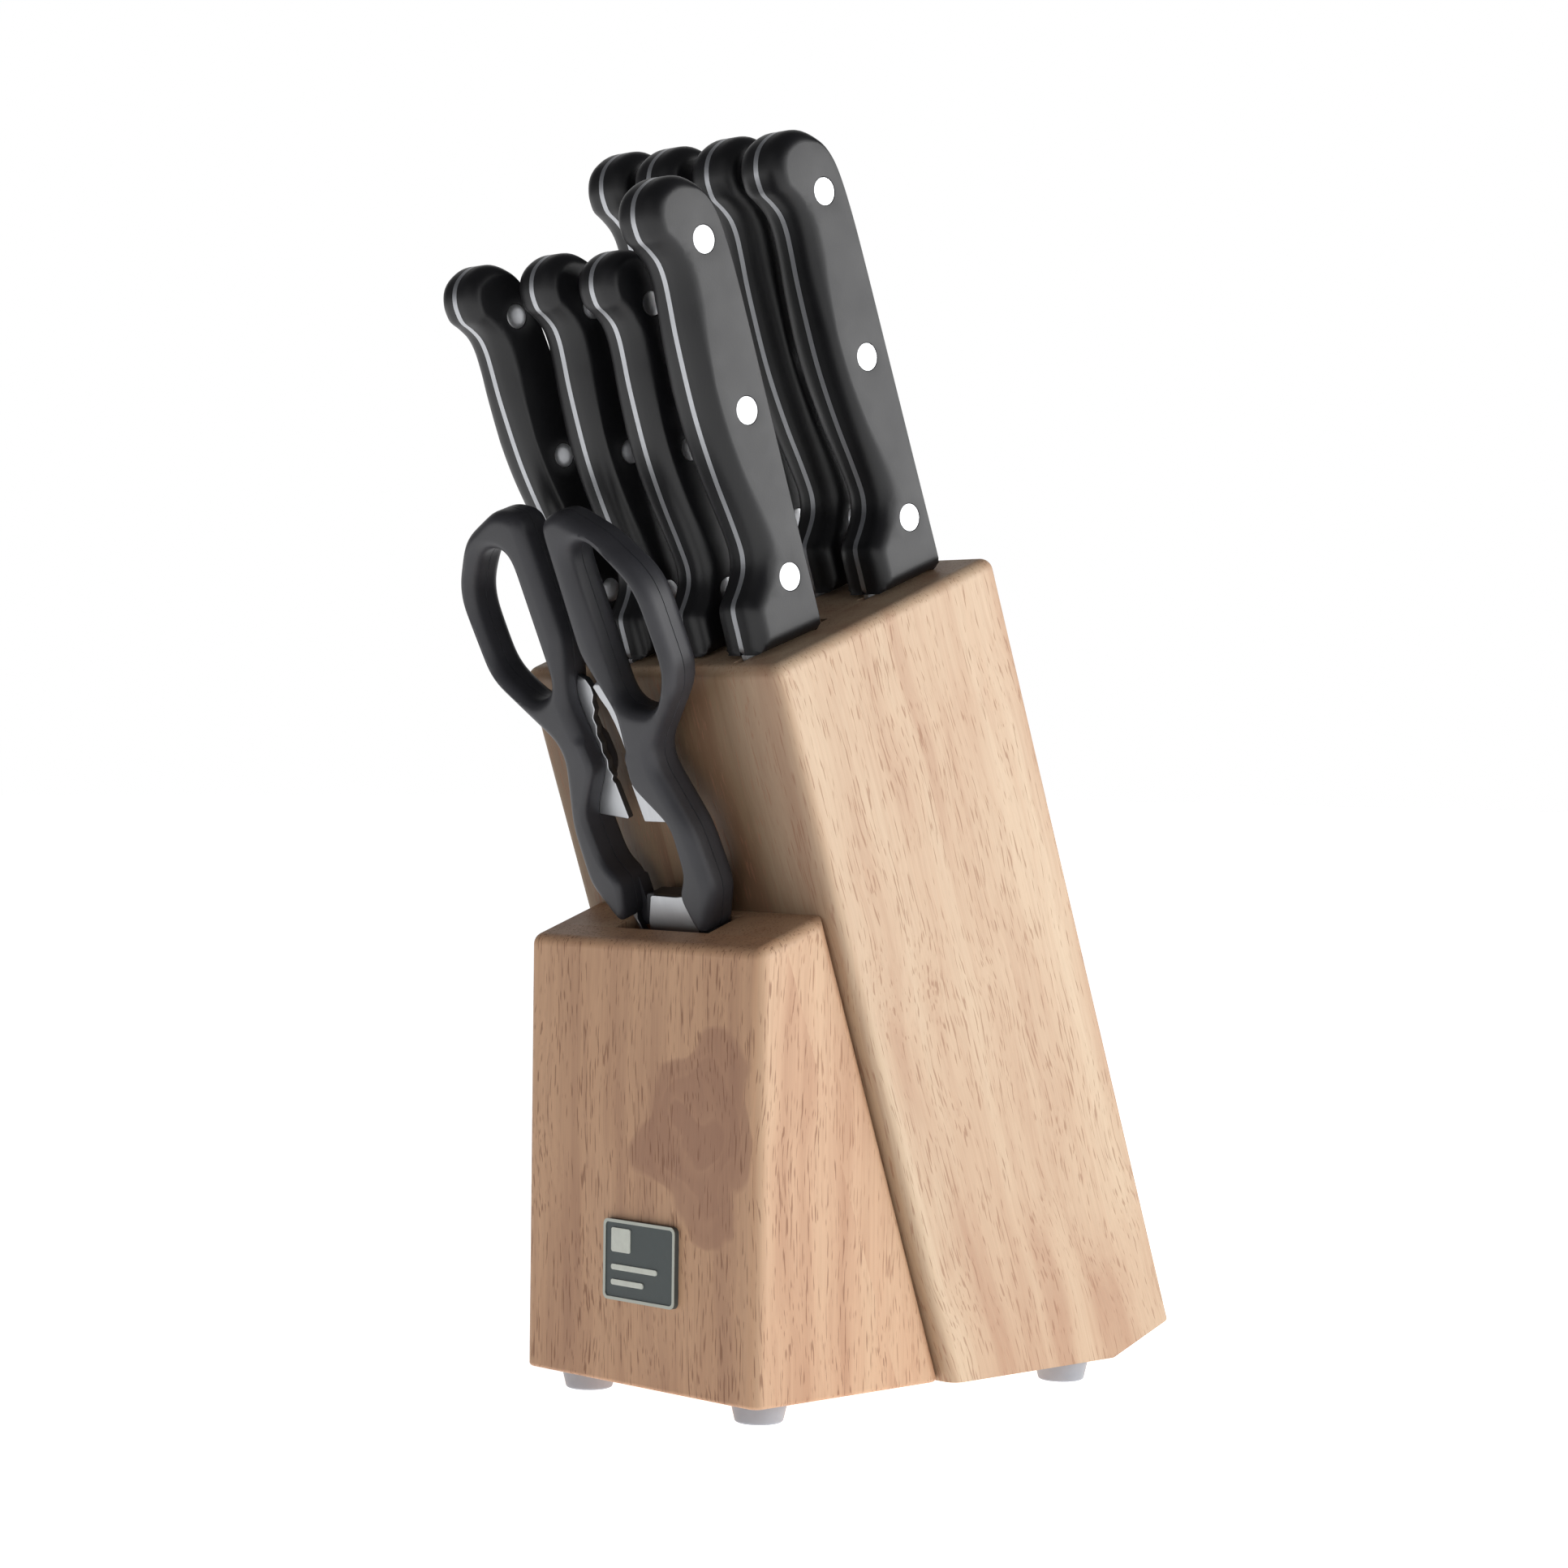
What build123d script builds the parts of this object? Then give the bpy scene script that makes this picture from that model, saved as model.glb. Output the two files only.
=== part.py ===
from build123d import *
import os
from math import cos, radians, sin, tan

# Knife block with eight knives and kitchen scissors. Millimetres, +Z up, the front faces -Y.
# "x" runs across the block, "t" into the block square to its leaning front face, and "h" along
# the lean, up from the front edge of the main block's top.

# ---------------------------------------------------------------- driving dimensions
LEAN = 20.0             # lean of the main block and of every slot, degrees
TOP_SLOPE = 21.7        # slope of the main block's top, degrees
MAIN_WIDTH = 95.0
MAIN_DEPTH = 82.0       # square to the lean
MAIN_FRONT = 190.2      # length of the main block's front face along the lean
HEEL_DROP = 20.8        # how far the back face runs on below the front face's lower edge
FRONT_WIDTH = 86.6
FRONT_DEPTH = 65.0      # front block's depth at the bottom
FRONT_HEIGHT = 110.7    # front block's upright face
EDGE_ROUND = 3.2
BOTTOM_ROUND = 1.0
FOOT_HEIGHT = 5.2

COLUMNS = (-30.6, -10.2, 10.2, 30.6)    # the four slot planes
SLOT_WIDTH = 2.6
FRONT_SLOT = (3.4, 35.0)                # t where the front row's slots begin and end
BACK_SLOT = (48.5, 78.0)

POCKET_X = (-18.6, 16.2)                # scissors pocket
POCKET_T = (-14.9, -3.1)

FOOT_PLACES = ((-31.0, 11.5), (32.5, 11.5), (-39.5, 114.0), (39.5, 114.0))
FOOT_TOP_R = 7.1
FOOT_BOTTOM_R = 5.9
SCREW_R = 1.75
SCREW_HEAD_R = 3.4

BADGE_WIDTH = 26.5
BADGE_HEIGHT = 20.2
BADGE_THICKNESS = 1.5
BADGE_CENTRE_X = 2.1
BADGE_CENTRE_Z = 36.5

BLADE_THICKNESS = 1.6
RIVET_R = 3.6
SCALE_THICKNESS = 7.1
LARGE_GRIP = 0.97                       # size of the large handles against the drawn outline
SMALL_GRIP = 0.852
UTILITY_GRIP = 0.842
SPINE = 21.4                            # t of the blade's spine from the front of the drawn outline
SCALE_ROUND = 2.4
RIVET_PLACES = ((14.1, 102.8), (14.6, 59.3), (15.4, 16.0))

SCISSORS_T = -9.0                       # the plane where the two blades meet
SCISSORS_TILT = 6.0                     # the scissors stand leaning to the left
SCISSORS_X = -1.9
SCISSORS_HANDLE_THICKNESS = 11.0
HANDLE_ROUND = 1.2
SCISSORS_PLATE = 1.85
PLATE_GAP = 0.1
PIVOT_H = -16.0
PIVOT_R = 2.5
PIVOT_CLEARANCE = 0.05
PIVOT_HEAD_R = 4.6
PIVOT_NUT_R = 4.2
PIVOT_HEAD = 1.3                        # thickness of the screw's head and of its nut

# ---------------------------------------------------------------- frames
MAIN_TOP_Y = FRONT_DEPTH - MAIN_FRONT * sin(radians(LEAN))
MAIN_TOP_Z = FOOT_HEIGHT + MAIN_FRONT * cos(radians(LEAN))
UP = (0, -sin(radians(LEAN)), cos(radians(LEAN)))
TOP_RISE = tan(radians(TOP_SLOPE - LEAN))       # how the top climbs along t, in the leaning frame

# The front block's top line, where it meets the main block.
MEET_Y = (FRONT_DEPTH - FRONT_HEIGHT * tan(radians(LEAN))) / (1 + tan(radians(LEAN)) ** 2)
MEET_Z = FOOT_HEIGHT + FRONT_HEIGHT + MEET_Y * tan(radians(LEAN))

leaning = Plane(origin=(0, MAIN_TOP_Y, MAIN_TOP_Z), x_dir=(1, 0, 0), z_dir=UP).location


def profile_prism(points, x0, x1):
    """A prism across x from an outline in (t, h)."""
    plane = Plane(origin=(x0, 0, 0), x_dir=(0, 1, 0), z_dir=(1, 0, 0))
    face = plane * make_face(Polyline(*points, close=True))
    return extrude(face, amount=x1 - x0, dir=(1, 0, 0))


def rounded_face(corners):
    """A face from corners that each carry their own radius."""
    points = [(a, b) for a, b, _ in corners]
    return make_face(FilletPolyline(*points, radius=[radius for _, _, radius in corners], close=True))


def slab_x(x0, x1):
    """A tall box between two x planes, for cutting a block into boards."""
    return Pos((x0 + x1) / 2, 0, 0) * Box(x1 - x0, 900, 900)


def slab_t(t0, t1):
    """The same between two t planes, in the leaning frame."""
    return Pos(0, (t0 + t1) / 2, 0) * Box(900, t1 - t0, 900)


def group(shapes):
    """Separate solids that share one node."""
    solids = []
    for shape in shapes:
        solids.extend(shape.solids())
    return Compound(solids)


# ---------------------------------------------------------------- main block
def main_block():
    """The whole leaning block, in the leaning frame, with its outer edges rounded."""
    heel_t = HEEL_DROP / tan(radians(LEAN))
    outline = [
        (0, 0),
        (MAIN_DEPTH, MAIN_DEPTH * TOP_RISE),
        (MAIN_DEPTH, -MAIN_FRONT - HEEL_DROP),
        (heel_t, -MAIN_FRONT - HEEL_DROP),
        (0, -MAIN_FRONT),
    ]
    block = profile_prism(outline, -MAIN_WIDTH / 2, MAIN_WIDTH / 2)
    rounded = [
        e for e in block.edges()
        if e.center().Z > -MAIN_FRONT * 0.75
    ]
    return fillet(rounded, EDGE_ROUND)


def board_edges():
    """Where each board begins and ends across the block, from left to right."""
    half_slot = SLOT_WIDTH / 2
    starts = [-MAIN_WIDTH / 2] + [x + half_slot for x in COLUMNS]
    ends = [x - half_slot for x in COLUMNS] + [MAIN_WIDTH / 2]
    return list(zip(starts, ends))


def main_block_pieces():
    """Five boards, and between them four layers of thin strips that leave the slots open."""
    block = main_block()
    boards = ("left_cheek_board", "left_inner_board", "centre_board",
              "right_inner_board", "right_cheek_board")
    pieces = {}
    for name, (x0, x1) in zip(boards, board_edges()):
        pieces[name] = leaning * (block & slab_x(x0, x1))
    layers = ("slot_strips_left_outer", "slot_strips_left_inner",
              "slot_strips_right_inner", "slot_strips_right_outer")
    strip_spans = ((-50, FRONT_SLOT[0]), (FRONT_SLOT[1], BACK_SLOT[0]), (BACK_SLOT[1], 200))
    for name, x in zip(layers, COLUMNS):
        layer = block & slab_x(x - SLOT_WIDTH / 2, x + SLOT_WIDTH / 2)
        strips = [leaning * (layer & slab_t(t0, t1)) for t0, t1 in strip_spans]
        pieces[name] = group(strips)
    return pieces


# ---------------------------------------------------------------- front block
def front_block():
    """The whole front block: an upright face, and a top square to the lean."""
    outline = [
        (0, FOOT_HEIGHT),
        (0, FOOT_HEIGHT + FRONT_HEIGHT),
        (MEET_Y, MEET_Z),
        (FRONT_DEPTH, FOOT_HEIGHT),
    ]
    block = profile_prism(outline, -FRONT_WIDTH / 2, FRONT_WIDTH / 2)
    rounded = []
    for e in block.edges():
        c = e.center()
        at_bottom = c.Z < FOOT_HEIGHT + 1
        across_back = abs(c.X) < 1 and c.Y > MEET_Y - 1
        if not at_bottom and not across_back:
            rounded.append(e)
    block = fillet(rounded, EDGE_ROUND)
    under = block.faces().sort_by(Axis.Z)[0]
    rim = [e for e in under.edges() if e.center().Y < FRONT_DEPTH - EDGE_ROUND]
    return fillet(rim, BOTTOM_ROUND)


def front_block_pieces():
    """Face board, two rails and a thin back panel, around the scissors pocket."""
    block = front_block()
    edge = FRONT_WIDTH
    rail_slab = leaning * slab_t(*POCKET_T)
    return {
        "front_block_face": block & (leaning * slab_t(-200, POCKET_T[0])),
        "front_block_left_rail": block & rail_slab & slab_x(-edge, POCKET_X[0]),
        "front_block_right_rail": block & rail_slab & slab_x(POCKET_X[1], edge),
        "front_block_back_panel": block & (leaning * slab_t(POCKET_T[1], 0)),
    }


# ---------------------------------------------------------------- feet and badge
def foot(x, y):
    """A soft foot: a low cone with a rounded rim and a countersunk screw hole."""
    cone = Cone(FOOT_BOTTOM_R, FOOT_TOP_R, FOOT_HEIGHT, align=(Align.CENTER, Align.CENTER, Align.MIN))
    cone = fillet(cone.faces().sort_by(Axis.Z)[0].edges(), 0.8)
    hole = Cylinder(SCREW_R + 0.15, 20)
    head = Cylinder(SCREW_HEAD_R + 0.3, 5.0)
    return Pos(x, y, 0) * (cone - hole - head)


def foot_screw(x, y):
    """A pan-head screw: its shank stops at the foot's top, where the wood closes on its thread."""
    low = (Align.CENTER, Align.CENTER, Align.MIN)
    head = Pos(0, 0, 1.0) * Cylinder(SCREW_HEAD_R, 1.5, align=low)
    head = fillet(head.faces().sort_by(Axis.Z)[0].edges(), 0.7)
    shank = Pos(0, 0, 2.5) * Cylinder(SCREW_R, 12.6, align=low)
    cross = Pos(0, 0, 1.0) * (Box(3.4, 0.7, 1.6) + Box(0.7, 3.4, 1.6))
    return Pos(x, y, 0) * (head + shank - cross)


def screw_hole(x, y):
    return Pos(x, y, FOOT_HEIGHT) * Cylinder(SCREW_R, 20)


def badge_pieces():
    """A plain plate with a raised rim, and three plain bars standing on it."""
    plane = Plane(origin=(BADGE_CENTRE_X, 0, BADGE_CENTRE_Z), x_dir=(1, 0, 0), z_dir=(0, -1, 0))
    plate = extrude(plane * RectangleRounded(BADGE_WIDTH, BADGE_HEIGHT, 1.6), BADGE_THICKNESS)
    inner = plane.offset(BADGE_THICKNESS) * RectangleRounded(BADGE_WIDTH - 1.6, BADGE_HEIGHT - 1.6, 1.0)
    plate -= extrude(inner, -0.3)
    bars = []
    for row, width in ((5.0, 7.0), (-1.8, 17.0), (-5.6, 12.0)):
        height = 6.0 if row > 0 else 1.4
        left = -BADGE_WIDTH / 2 + 3.0 + width / 2
        bar = plane.offset(BADGE_THICKNESS - 0.3) * Pos(left, row, 0) * RectangleRounded(width, height, 0.6)
        bars.append(extrude(bar, 0.3))
    return {"badge_plate": plate, "badge_bars": group(bars)}


# ---------------------------------------------------------------- knives
# Corners of a handle's outline in (t, h), each with the radius that rounds it.
GRIP_CORNERS = (
    (0.7, 0, 0.8), (0.8, 13.6, 3.0), (9.4, 21.6, 5.0), (2.6, 58, 90), (6.9, 97.0, 7.0), (-2.0, 107.2, 3.0),
    (2.6, 118.6, 9.0), (12.5, 121.4, 9.0), (20.6, 112.0, 14.0), (22.6, 98.0, 30.0), (22.6, 0, 0.8),
)

# Each kind of cutting edge: the share of the length that is straight, and how far down its belly is pulled.
EDGE_CURVES = {"pointed": (0.30, 0.86), "straight": (0.70, 0.93), "round": (0.84, 0.995)}


def grip_face(size):
    """The outline of a handle in (t, h): guard, finger notch, beak and butt, and a straight spine."""
    return rounded_face([(t * size, h * size, radius * size) for t, h, radius in GRIP_CORNERS])


def blade_face(length, heel, size, style):
    """The blade's outline below the handle, in (t, h): edge to the left, spine to the right."""
    spine_t = SPINE * size
    edge_t = spine_t - heel
    tip = (spine_t - heel * 0.12, -length)
    straight, pull = EDGE_CURVES[style]
    outline = Polyline((spine_t, -length * 0.88), (spine_t, 0), (edge_t, 0), (edge_t, -length * straight))
    belly = Bezier((edge_t, -length * straight), (edge_t, -length * pull), tip)
    back = Bezier(tip, (spine_t, -length * 0.97), (spine_t, -length * 0.88))
    return make_face(outline + belly + back)


def side_plate(face, x0, thickness):
    """A (t, h) face extruded across x from x0."""
    plane = Plane(origin=(x0, 0, 0), x_dir=(0, 1, 0), z_dir=(1, 0, 0))
    return extrude(plane * face, amount=thickness, dir=(1, 0, 0))


def ground(blade, length, heel, size):
    """Thins the blade from mid height to its edge, on both sides."""
    spine_t = SPINE * size
    edge_t = spine_t - heel
    mid_t = spine_t - heel * 0.45
    half = BLADE_THICKNESS / 2
    section = [
        (-half, spine_t + 5), (-half, mid_t), (-0.25, edge_t), (-0.25, edge_t - 5),
        (0.25, edge_t - 5), (0.25, edge_t), (half, mid_t), (half, spine_t + 5),
    ]
    wedge = extrude(make_face(Polyline(*section, close=True)), amount=-(length + 10))
    return blade & wedge


def knife(x, t0, h0, tilt, length, heel, size, style):
    """One knife's four nodes, placed in its slot."""
    grip = grip_face(size)
    scale_thickness = SCALE_THICKNESS * size
    half = BLADE_THICKNESS / 2
    tang = side_plate(grip, -half, BLADE_THICKNESS)
    blade = ground(side_plate(blade_face(length, heel, size, style), -half, BLADE_THICKNESS),
                   length, heel, size)
    body = tang + blade
    right = side_plate(grip, half, scale_thickness)
    outer = right.faces().sort_by(Axis.X)[-1]
    right = fillet(outer.edges(), SCALE_ROUND * size)
    scales = {"left": mirror(right, Plane.YZ), "right": right}
    place = leaning * Pos(x, t0, h0) * Rot(tilt, 0, 0)
    rivets = []
    for t, h in RIVET_PLACES:
        axis = Plane(origin=(0, t * size, h * size), x_dir=(0, 1, 0), z_dir=(1, 0, 0)).location
        rivet = axis * Cylinder(RIVET_R * size, 2 * (half + scale_thickness))
        rivets.append(place * rivet)
        body -= rivet
        scales = {side: scale - rivet for side, scale in scales.items()}
    return {
        "blade": place * body,
        "left_scale": place * scales["left"],
        "right_scale": place * scales["right"],
        "rivets": group(rivets),
    }


# Each knife's column, t of its handle's front, lift of its guard, forward tilt, blade length,
# blade depth, handle size and kind of edge.
KNIVES = {
    "paring_knife": (0, 4.3, 1.4, 4.8, 88, 17.3, SMALL_GRIP, "pointed"),
    "vegetable_knife": (1, 4.4, 0.9, 0.1, 95, 17.5, SMALL_GRIP, "straight"),
    "utility_knife": (2, 6.2, 0.7, 0.4, 125, 17.3, UTILITY_GRIP, "pointed"),
    "cook_knife": (3, 5.2, 1.1, -0.3, 165, 19.8, LARGE_GRIP, "pointed"),
    "bread_knife": (0, 51.4, 3.1, -0.4, 200, 19.8, LARGE_GRIP, "round"),
    "carving_knife": (1, 50.9, 2.5, 0.5, 200, 19.8, LARGE_GRIP, "pointed"),
    "slicing_knife": (2, 52.2, 2.4, 0.6, 190, 19.4, LARGE_GRIP, "straight"),
    "chef_knife": (3, 50.1, 2.2, 0.9, 200, 19.9, LARGE_GRIP, "pointed"),
}


def knife_pieces():
    pieces = {}
    for name, (column, t0, h0, tilt, length, heel, size, style) in KNIVES.items():
        made = knife(COLUMNS[column], t0, h0, tilt, length, heel, size, style)
        for part, shape in made.items():
            pieces[f"{name}_{part}"] = shape
    return pieces


# ---------------------------------------------------------------- scissors
# Corners of a handle's outline in (x, h), drawn on the right, each with the radius that rounds it:
# the foot and outer side, one loop for each hand half, and the inner side.
HANDLE_FOOT = ((14.0, -5.8, 2.2), (22.8, 8.0, 10), (22.2, 24.0, 20), (15.6, 44.0, 8))
HANDLE_INNER = (
    (2.6, 72, 12), (8.6, 56.0, 8), (6.2, 37.5, 2.6), (15.6, 26.0, 6), (14.8, 13.0, 6), (10.4, 8.0, 3),
)
RIGHT_LOOP = ((35.0, 61.5, 13), (34.6, 87.5, 18), (23.4, 100.0, 16), (11.0, 108.6, 7), (4.0, 106.6, 4))
RIGHT_HOLE = (
    (10.6, 57.5, 5.5), (23.5, 54.2, 6), (30.6, 64.5, 10), (30.0, 85.5, 14), (18.6, 100.0, 5.5),
    (10.6, 99.0, 4.2),
)
LEFT_LOOP = ((34.6, 64.5, 13), (36.2, 88.5, 16), (26.5, 101.5, 14), (11.5, 107.0, 9), (2.8, 104, 4))
LEFT_HOLE = (
    (11.2, 58.6, 5.5), (21.5, 56.4, 6), (31.3, 67, 10), (31.8, 86.5, 14), (21.0, 98.2, 6.5),
    (11.2, 96.3, 4.2),
)
LEFT_HALF_RAISE = 5.0       # the left handle sits this much higher along the scissors' own axis
# The webs at the handles' feet and the two plates, as corners in (x, h). Each plate has its blade, its
# shoulder, the tang inside the handle, a bottle-opener corner and the inner edge. The left half's
# shapes are drawn on the right and mirrored; its plate's inner edge has teeth for cracking nuts.
RIGHT_WEB = (
    (-7.4, 8.1), (-9.9, 2.1), (-9.6, 1.0), (-2.0, -5.5), (13.5, -5.5), (16.5, 2.0), (14.0, 6.8), (5.5, 6.9),
)
LEFT_WEB = ((10.6, 12.4), (10.6, 2.0), (12.0, -0.6), (15.0, -0.6), (17.0, 6.0), (14.0, 13.0))
FRONT_PLATE = (
    (-1.8, -100), (-5.5, -80), (-8.5, -50), (-9.8, -22), (-9.6, -10), (-7.9, 1.0), (-3.9, 8.1),
    (5.5, 6.9), (15.0, 6.9), (17.5, 18.0), (17.0, 25.8), (3.3, 27.3), (3.0, 36.9), (4.2, 40.0),
    (5.0, 45.2), (4.9, 48.8), (4.5, 52.5), (3.5, 56.8), (1.9, 60.0), (0.7, 63.3), (3.0, 64.5),
    (5.6, 61.5), (8.8, 57.0), (10.5, 51.0), (14.0, 46.0), (19.4, 28.0), (18.6, 8.0), (12.5, 1.5),
    (9.5, -3.0), (8.6, -14), (5.5, -22), (3.6, -34), (2.2, -60), (0.6, -90),
)
BACK_PLATE = (
    (-1.8, -100), (-5.5, -80), (-8.5, -50), (-9.6, -22), (-9.4, -14), (-7.2, -9.8), (-3.0, -7.2),
    (1.5, -7.0), (8.5, -4.2), (13.8, -1.6), (14.4, 1.5), (11.4, 11.0), (16.5, 14.0), (17.5, 23.0),
    (17.0, 30.6), (4.7, 27.9), (5.4, 37.6), (6.2, 38.6), (5.2, 39.6), (6.2, 41.6), (5.4, 43.8),
    (6.3, 46.0), (5.6, 48.3), (6.3, 50.6), (5.2, 52.8), (5.6, 55.0), (3.9, 57.0), (3.9, 59.0),
    (2.6, 60.8), (2.6, 63.0), (3.6, 65.0), (6.0, 66.5), (9.0, 61.5), (10.8, 56.0), (14.0, 51.0),
    (19.4, 33.0), (18.6, 13.0), (15.9, 4.4), (14.8, -3.0), (11.5, -7.0), (8.6, -14), (5.5, -22),
    (3.6, -34), (2.2, -60), (0.6, -90),
)


def scissors_handle(loop, hole, raised):
    """A plastic handle with its finger loop, in the scissors' own (x, h) plane, on the right."""
    half = SCISSORS_HANDLE_THICKNESS / 2
    plane = Plane(origin=(0, -half, 0), x_dir=(1, 0, 0), z_dir=(0, -1, 0))
    outline = rounded_face(HANDLE_FOOT + loop + HANDLE_INNER) - rounded_face(hole)
    body = extrude(plane * outline, amount=-SCISSORS_HANDLE_THICKNESS)
    ends = [e for e in body.edges() if abs(abs(e.center().Y) - half) < 0.01]
    return Pos(0, 0, raised) * fillet(ends, HANDLE_ROUND)


def scissors_plate(outline):
    """The steel of one half, its back face on the plane y = 0."""
    plane = Plane(origin=(0, 0, 0), x_dir=(1, 0, 0), z_dir=(0, -1, 0))
    return extrude(plane * make_face(Polyline(*outline, close=True)), amount=SCISSORS_PLATE)


def scissors_web(corners, start):
    """Plastic at a handle's foot that reaches out behind a plate, from y = start to the handle's back."""
    plane = Plane(origin=(0, start, 0), x_dir=(1, 0, 0), z_dir=(0, -1, 0))
    depth = SCISSORS_HANDLE_THICKNESS / 2 - start
    return extrude(plane * make_face(Polyline(*corners, close=True)), amount=-depth)


def across(radius, length, y):
    """A cylinder along the pivot's axis, its middle at y."""
    return Pos(0, y, PIVOT_H) * Rot(90, 0, 0) * Cylinder(radius, length)


def scissors_pieces():
    """Two halves, each a steel plate and a handle, and the pivot screw with its nut."""
    bore = across(PIVOT_R + PIVOT_CLEARANCE, 30, 0)
    front_plate = Pos(0, -PLATE_GAP / 2, 0) * scissors_plate(FRONT_PLATE)
    back_plate = mirror(scissors_plate(BACK_PLATE), Plane.YZ)
    back_plate = Pos(0, PLATE_GAP / 2 + SCISSORS_PLATE, 0) * back_plate
    right_handle = scissors_handle(RIGHT_LOOP, RIGHT_HOLE, 0)
    right_handle = right_handle + scissors_web(RIGHT_WEB, -PLATE_GAP / 2) - front_plate
    left_handle = scissors_handle(LEFT_LOOP, LEFT_HOLE, LEFT_HALF_RAISE)
    left_handle = left_handle + scissors_web(LEFT_WEB, PLATE_GAP / 2 + SCISSORS_PLATE)
    left_handle = mirror(left_handle, Plane.YZ) - back_plate
    outer = PLATE_GAP / 2 + SCISSORS_PLATE
    shank = across(PIVOT_R, 2 * outer + PLATE_GAP, -PLATE_GAP / 2)
    head = across(PIVOT_HEAD_R, PIVOT_HEAD, -outer - PLATE_GAP - PIVOT_HEAD / 2)
    nut = across(PIVOT_NUT_R, PIVOT_HEAD, outer + PIVOT_HEAD / 2)
    place = leaning_scissors()
    return {
        "scissors_front_blade": place * (front_plate - bore),
        "scissors_right_handle": place * right_handle,
        "scissors_back_blade": place * (back_plate - bore),
        "scissors_left_handle": place * left_handle,
        "scissors_pivot_screw": place * (shank + head),
        "scissors_pivot_nut": place * nut,
    }


def leaning_scissors():
    """The scissors' own frame: its origin is on the front block's top, at the pocket's middle."""
    meet = Plane(origin=(0, MEET_Y, MEET_Z), x_dir=(1, 0, 0), z_dir=UP).location
    return meet * Pos(SCISSORS_X, SCISSORS_T, 0) * Rot(0, -SCISSORS_TILT, 0)


# ---------------------------------------------------------------- build
def build():
    pieces = {}
    pieces.update(main_block_pieces())
    pieces.update(front_block_pieces())
    for name, place in zip(("foot_front_left", "foot_front_right", "foot_back_left", "foot_back_right"),
                           FOOT_PLACES):
        pieces[name] = foot(*place)
    pieces["foot_screws"] = group([foot_screw(*place) for place in FOOT_PLACES])
    drilled = ("front_block_face", "front_block_face", "left_cheek_board", "right_cheek_board")
    for name, place in zip(drilled, FOOT_PLACES):
        pieces[name] = pieces[name] - screw_hole(*place)
    pieces.update(badge_pieces())
    pieces.update(knife_pieces())
    pieces.update(scissors_pieces())
    return pieces


pieces = build()
whole = Compound([solid for piece in pieces.values() for solid in piece.solids()]).bounding_box()
centre = Pos(-(whole.min.X + whole.max.X) / 2, -(whole.min.Y + whole.max.Y) / 2, -whole.min.Z)
print("shift", centre.position, "size", whole.size)
os.makedirs("parts", exist_ok=True)
for name, shape in pieces.items():
    export_step(centre * shape, f"parts/{name}.step")
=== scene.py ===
from math import cos, pi, radians, sin, tan

import bmesh
import bpy
import numpy as np
from mathutils import Matrix, Vector
from mathutils.geometry import delaunay_2d_cdt


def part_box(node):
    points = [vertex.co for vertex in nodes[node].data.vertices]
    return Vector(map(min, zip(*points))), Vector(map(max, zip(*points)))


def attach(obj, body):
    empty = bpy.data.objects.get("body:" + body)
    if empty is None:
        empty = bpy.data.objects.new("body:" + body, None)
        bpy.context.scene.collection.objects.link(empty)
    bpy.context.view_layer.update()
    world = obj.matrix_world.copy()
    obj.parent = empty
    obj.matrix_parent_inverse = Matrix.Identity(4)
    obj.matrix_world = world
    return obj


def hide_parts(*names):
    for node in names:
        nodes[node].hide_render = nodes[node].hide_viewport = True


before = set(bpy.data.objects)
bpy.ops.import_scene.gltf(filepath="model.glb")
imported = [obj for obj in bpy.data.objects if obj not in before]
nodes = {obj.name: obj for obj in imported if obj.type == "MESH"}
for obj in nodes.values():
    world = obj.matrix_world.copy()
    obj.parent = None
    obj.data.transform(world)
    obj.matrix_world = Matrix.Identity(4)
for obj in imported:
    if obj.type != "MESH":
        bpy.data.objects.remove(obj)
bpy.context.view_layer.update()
scene = bpy.context.scene

MM = 0.001

# ------------------------------------------------------------------ shared dimensions, millimetres
LEAN = radians(20.0)
FRONT_DEPTH = 65.0
FRONT_HEIGHT = 110.7
MAIN_FRONT = 190.2
FOOT_HEIGHT = 5.2
COLUMNS = (-30.6, -10.2, 10.2, 30.6)
BLADE_HALF = 0.8
SCALE_THICKNESS = 7.1
SPINE = 21.4
RIVET_R = 3.6
RIVET_PLACES = ((14.1, 102.8), (14.6, 59.3), (15.4, 16.0))
LARGE, SMALL, UTILITY = 0.97, 0.852, 0.842
# The handle's side outline in (t, h) at size 1: up the belly, over the guard and butt, down the spine.
GRIP = (
    (1.5, 0.0), (0.75, 0.8), (0.8, 6.0), (0.9, 10.8), (1.7, 13.2), (4.4, 16.0), (7.0, 19.2), (8.3, 22.6),
    (8.5, 26.5), (7.5, 34.0), (6.0, 43.0), (4.8, 53.0), (4.2, 62.0), (4.2, 72.0), (4.5, 82.0), (5.1, 90.0),
    (5.3, 95.5), (4.6, 99.8), (2.6, 103.4), (0.6, 106.0), (0.0, 108.6), (0.05, 111.8), (1.3, 115.2),
    (3.6, 117.7), (7.2, 119.3), (11.0, 119.75), (14.8, 118.7), (18.2, 115.6), (20.4, 110.8), (21.6, 104.5),
    (22.3, 94.0), (22.5, 80.0), (22.5, 60.0), (22.5, 30.0), (22.5, 0.8), (21.8, 0.0), (12.0, 0.0),
)
# (h, how far the rounding reaches in from the belly there).
GRIP_INSETS = (
    (0, 3.6), (10, 3.9), (15, 4.6), (20, 5.0), (26, 5.4), (34, 4.4), (44, 3.3), (55, 2.7), (68, 2.5),
    (78, 3.4), (88, 4.6), (97, 4.4), (103, 3.6), (108, 3.5), (113, 3.8), (120, 3.8),
)
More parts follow.
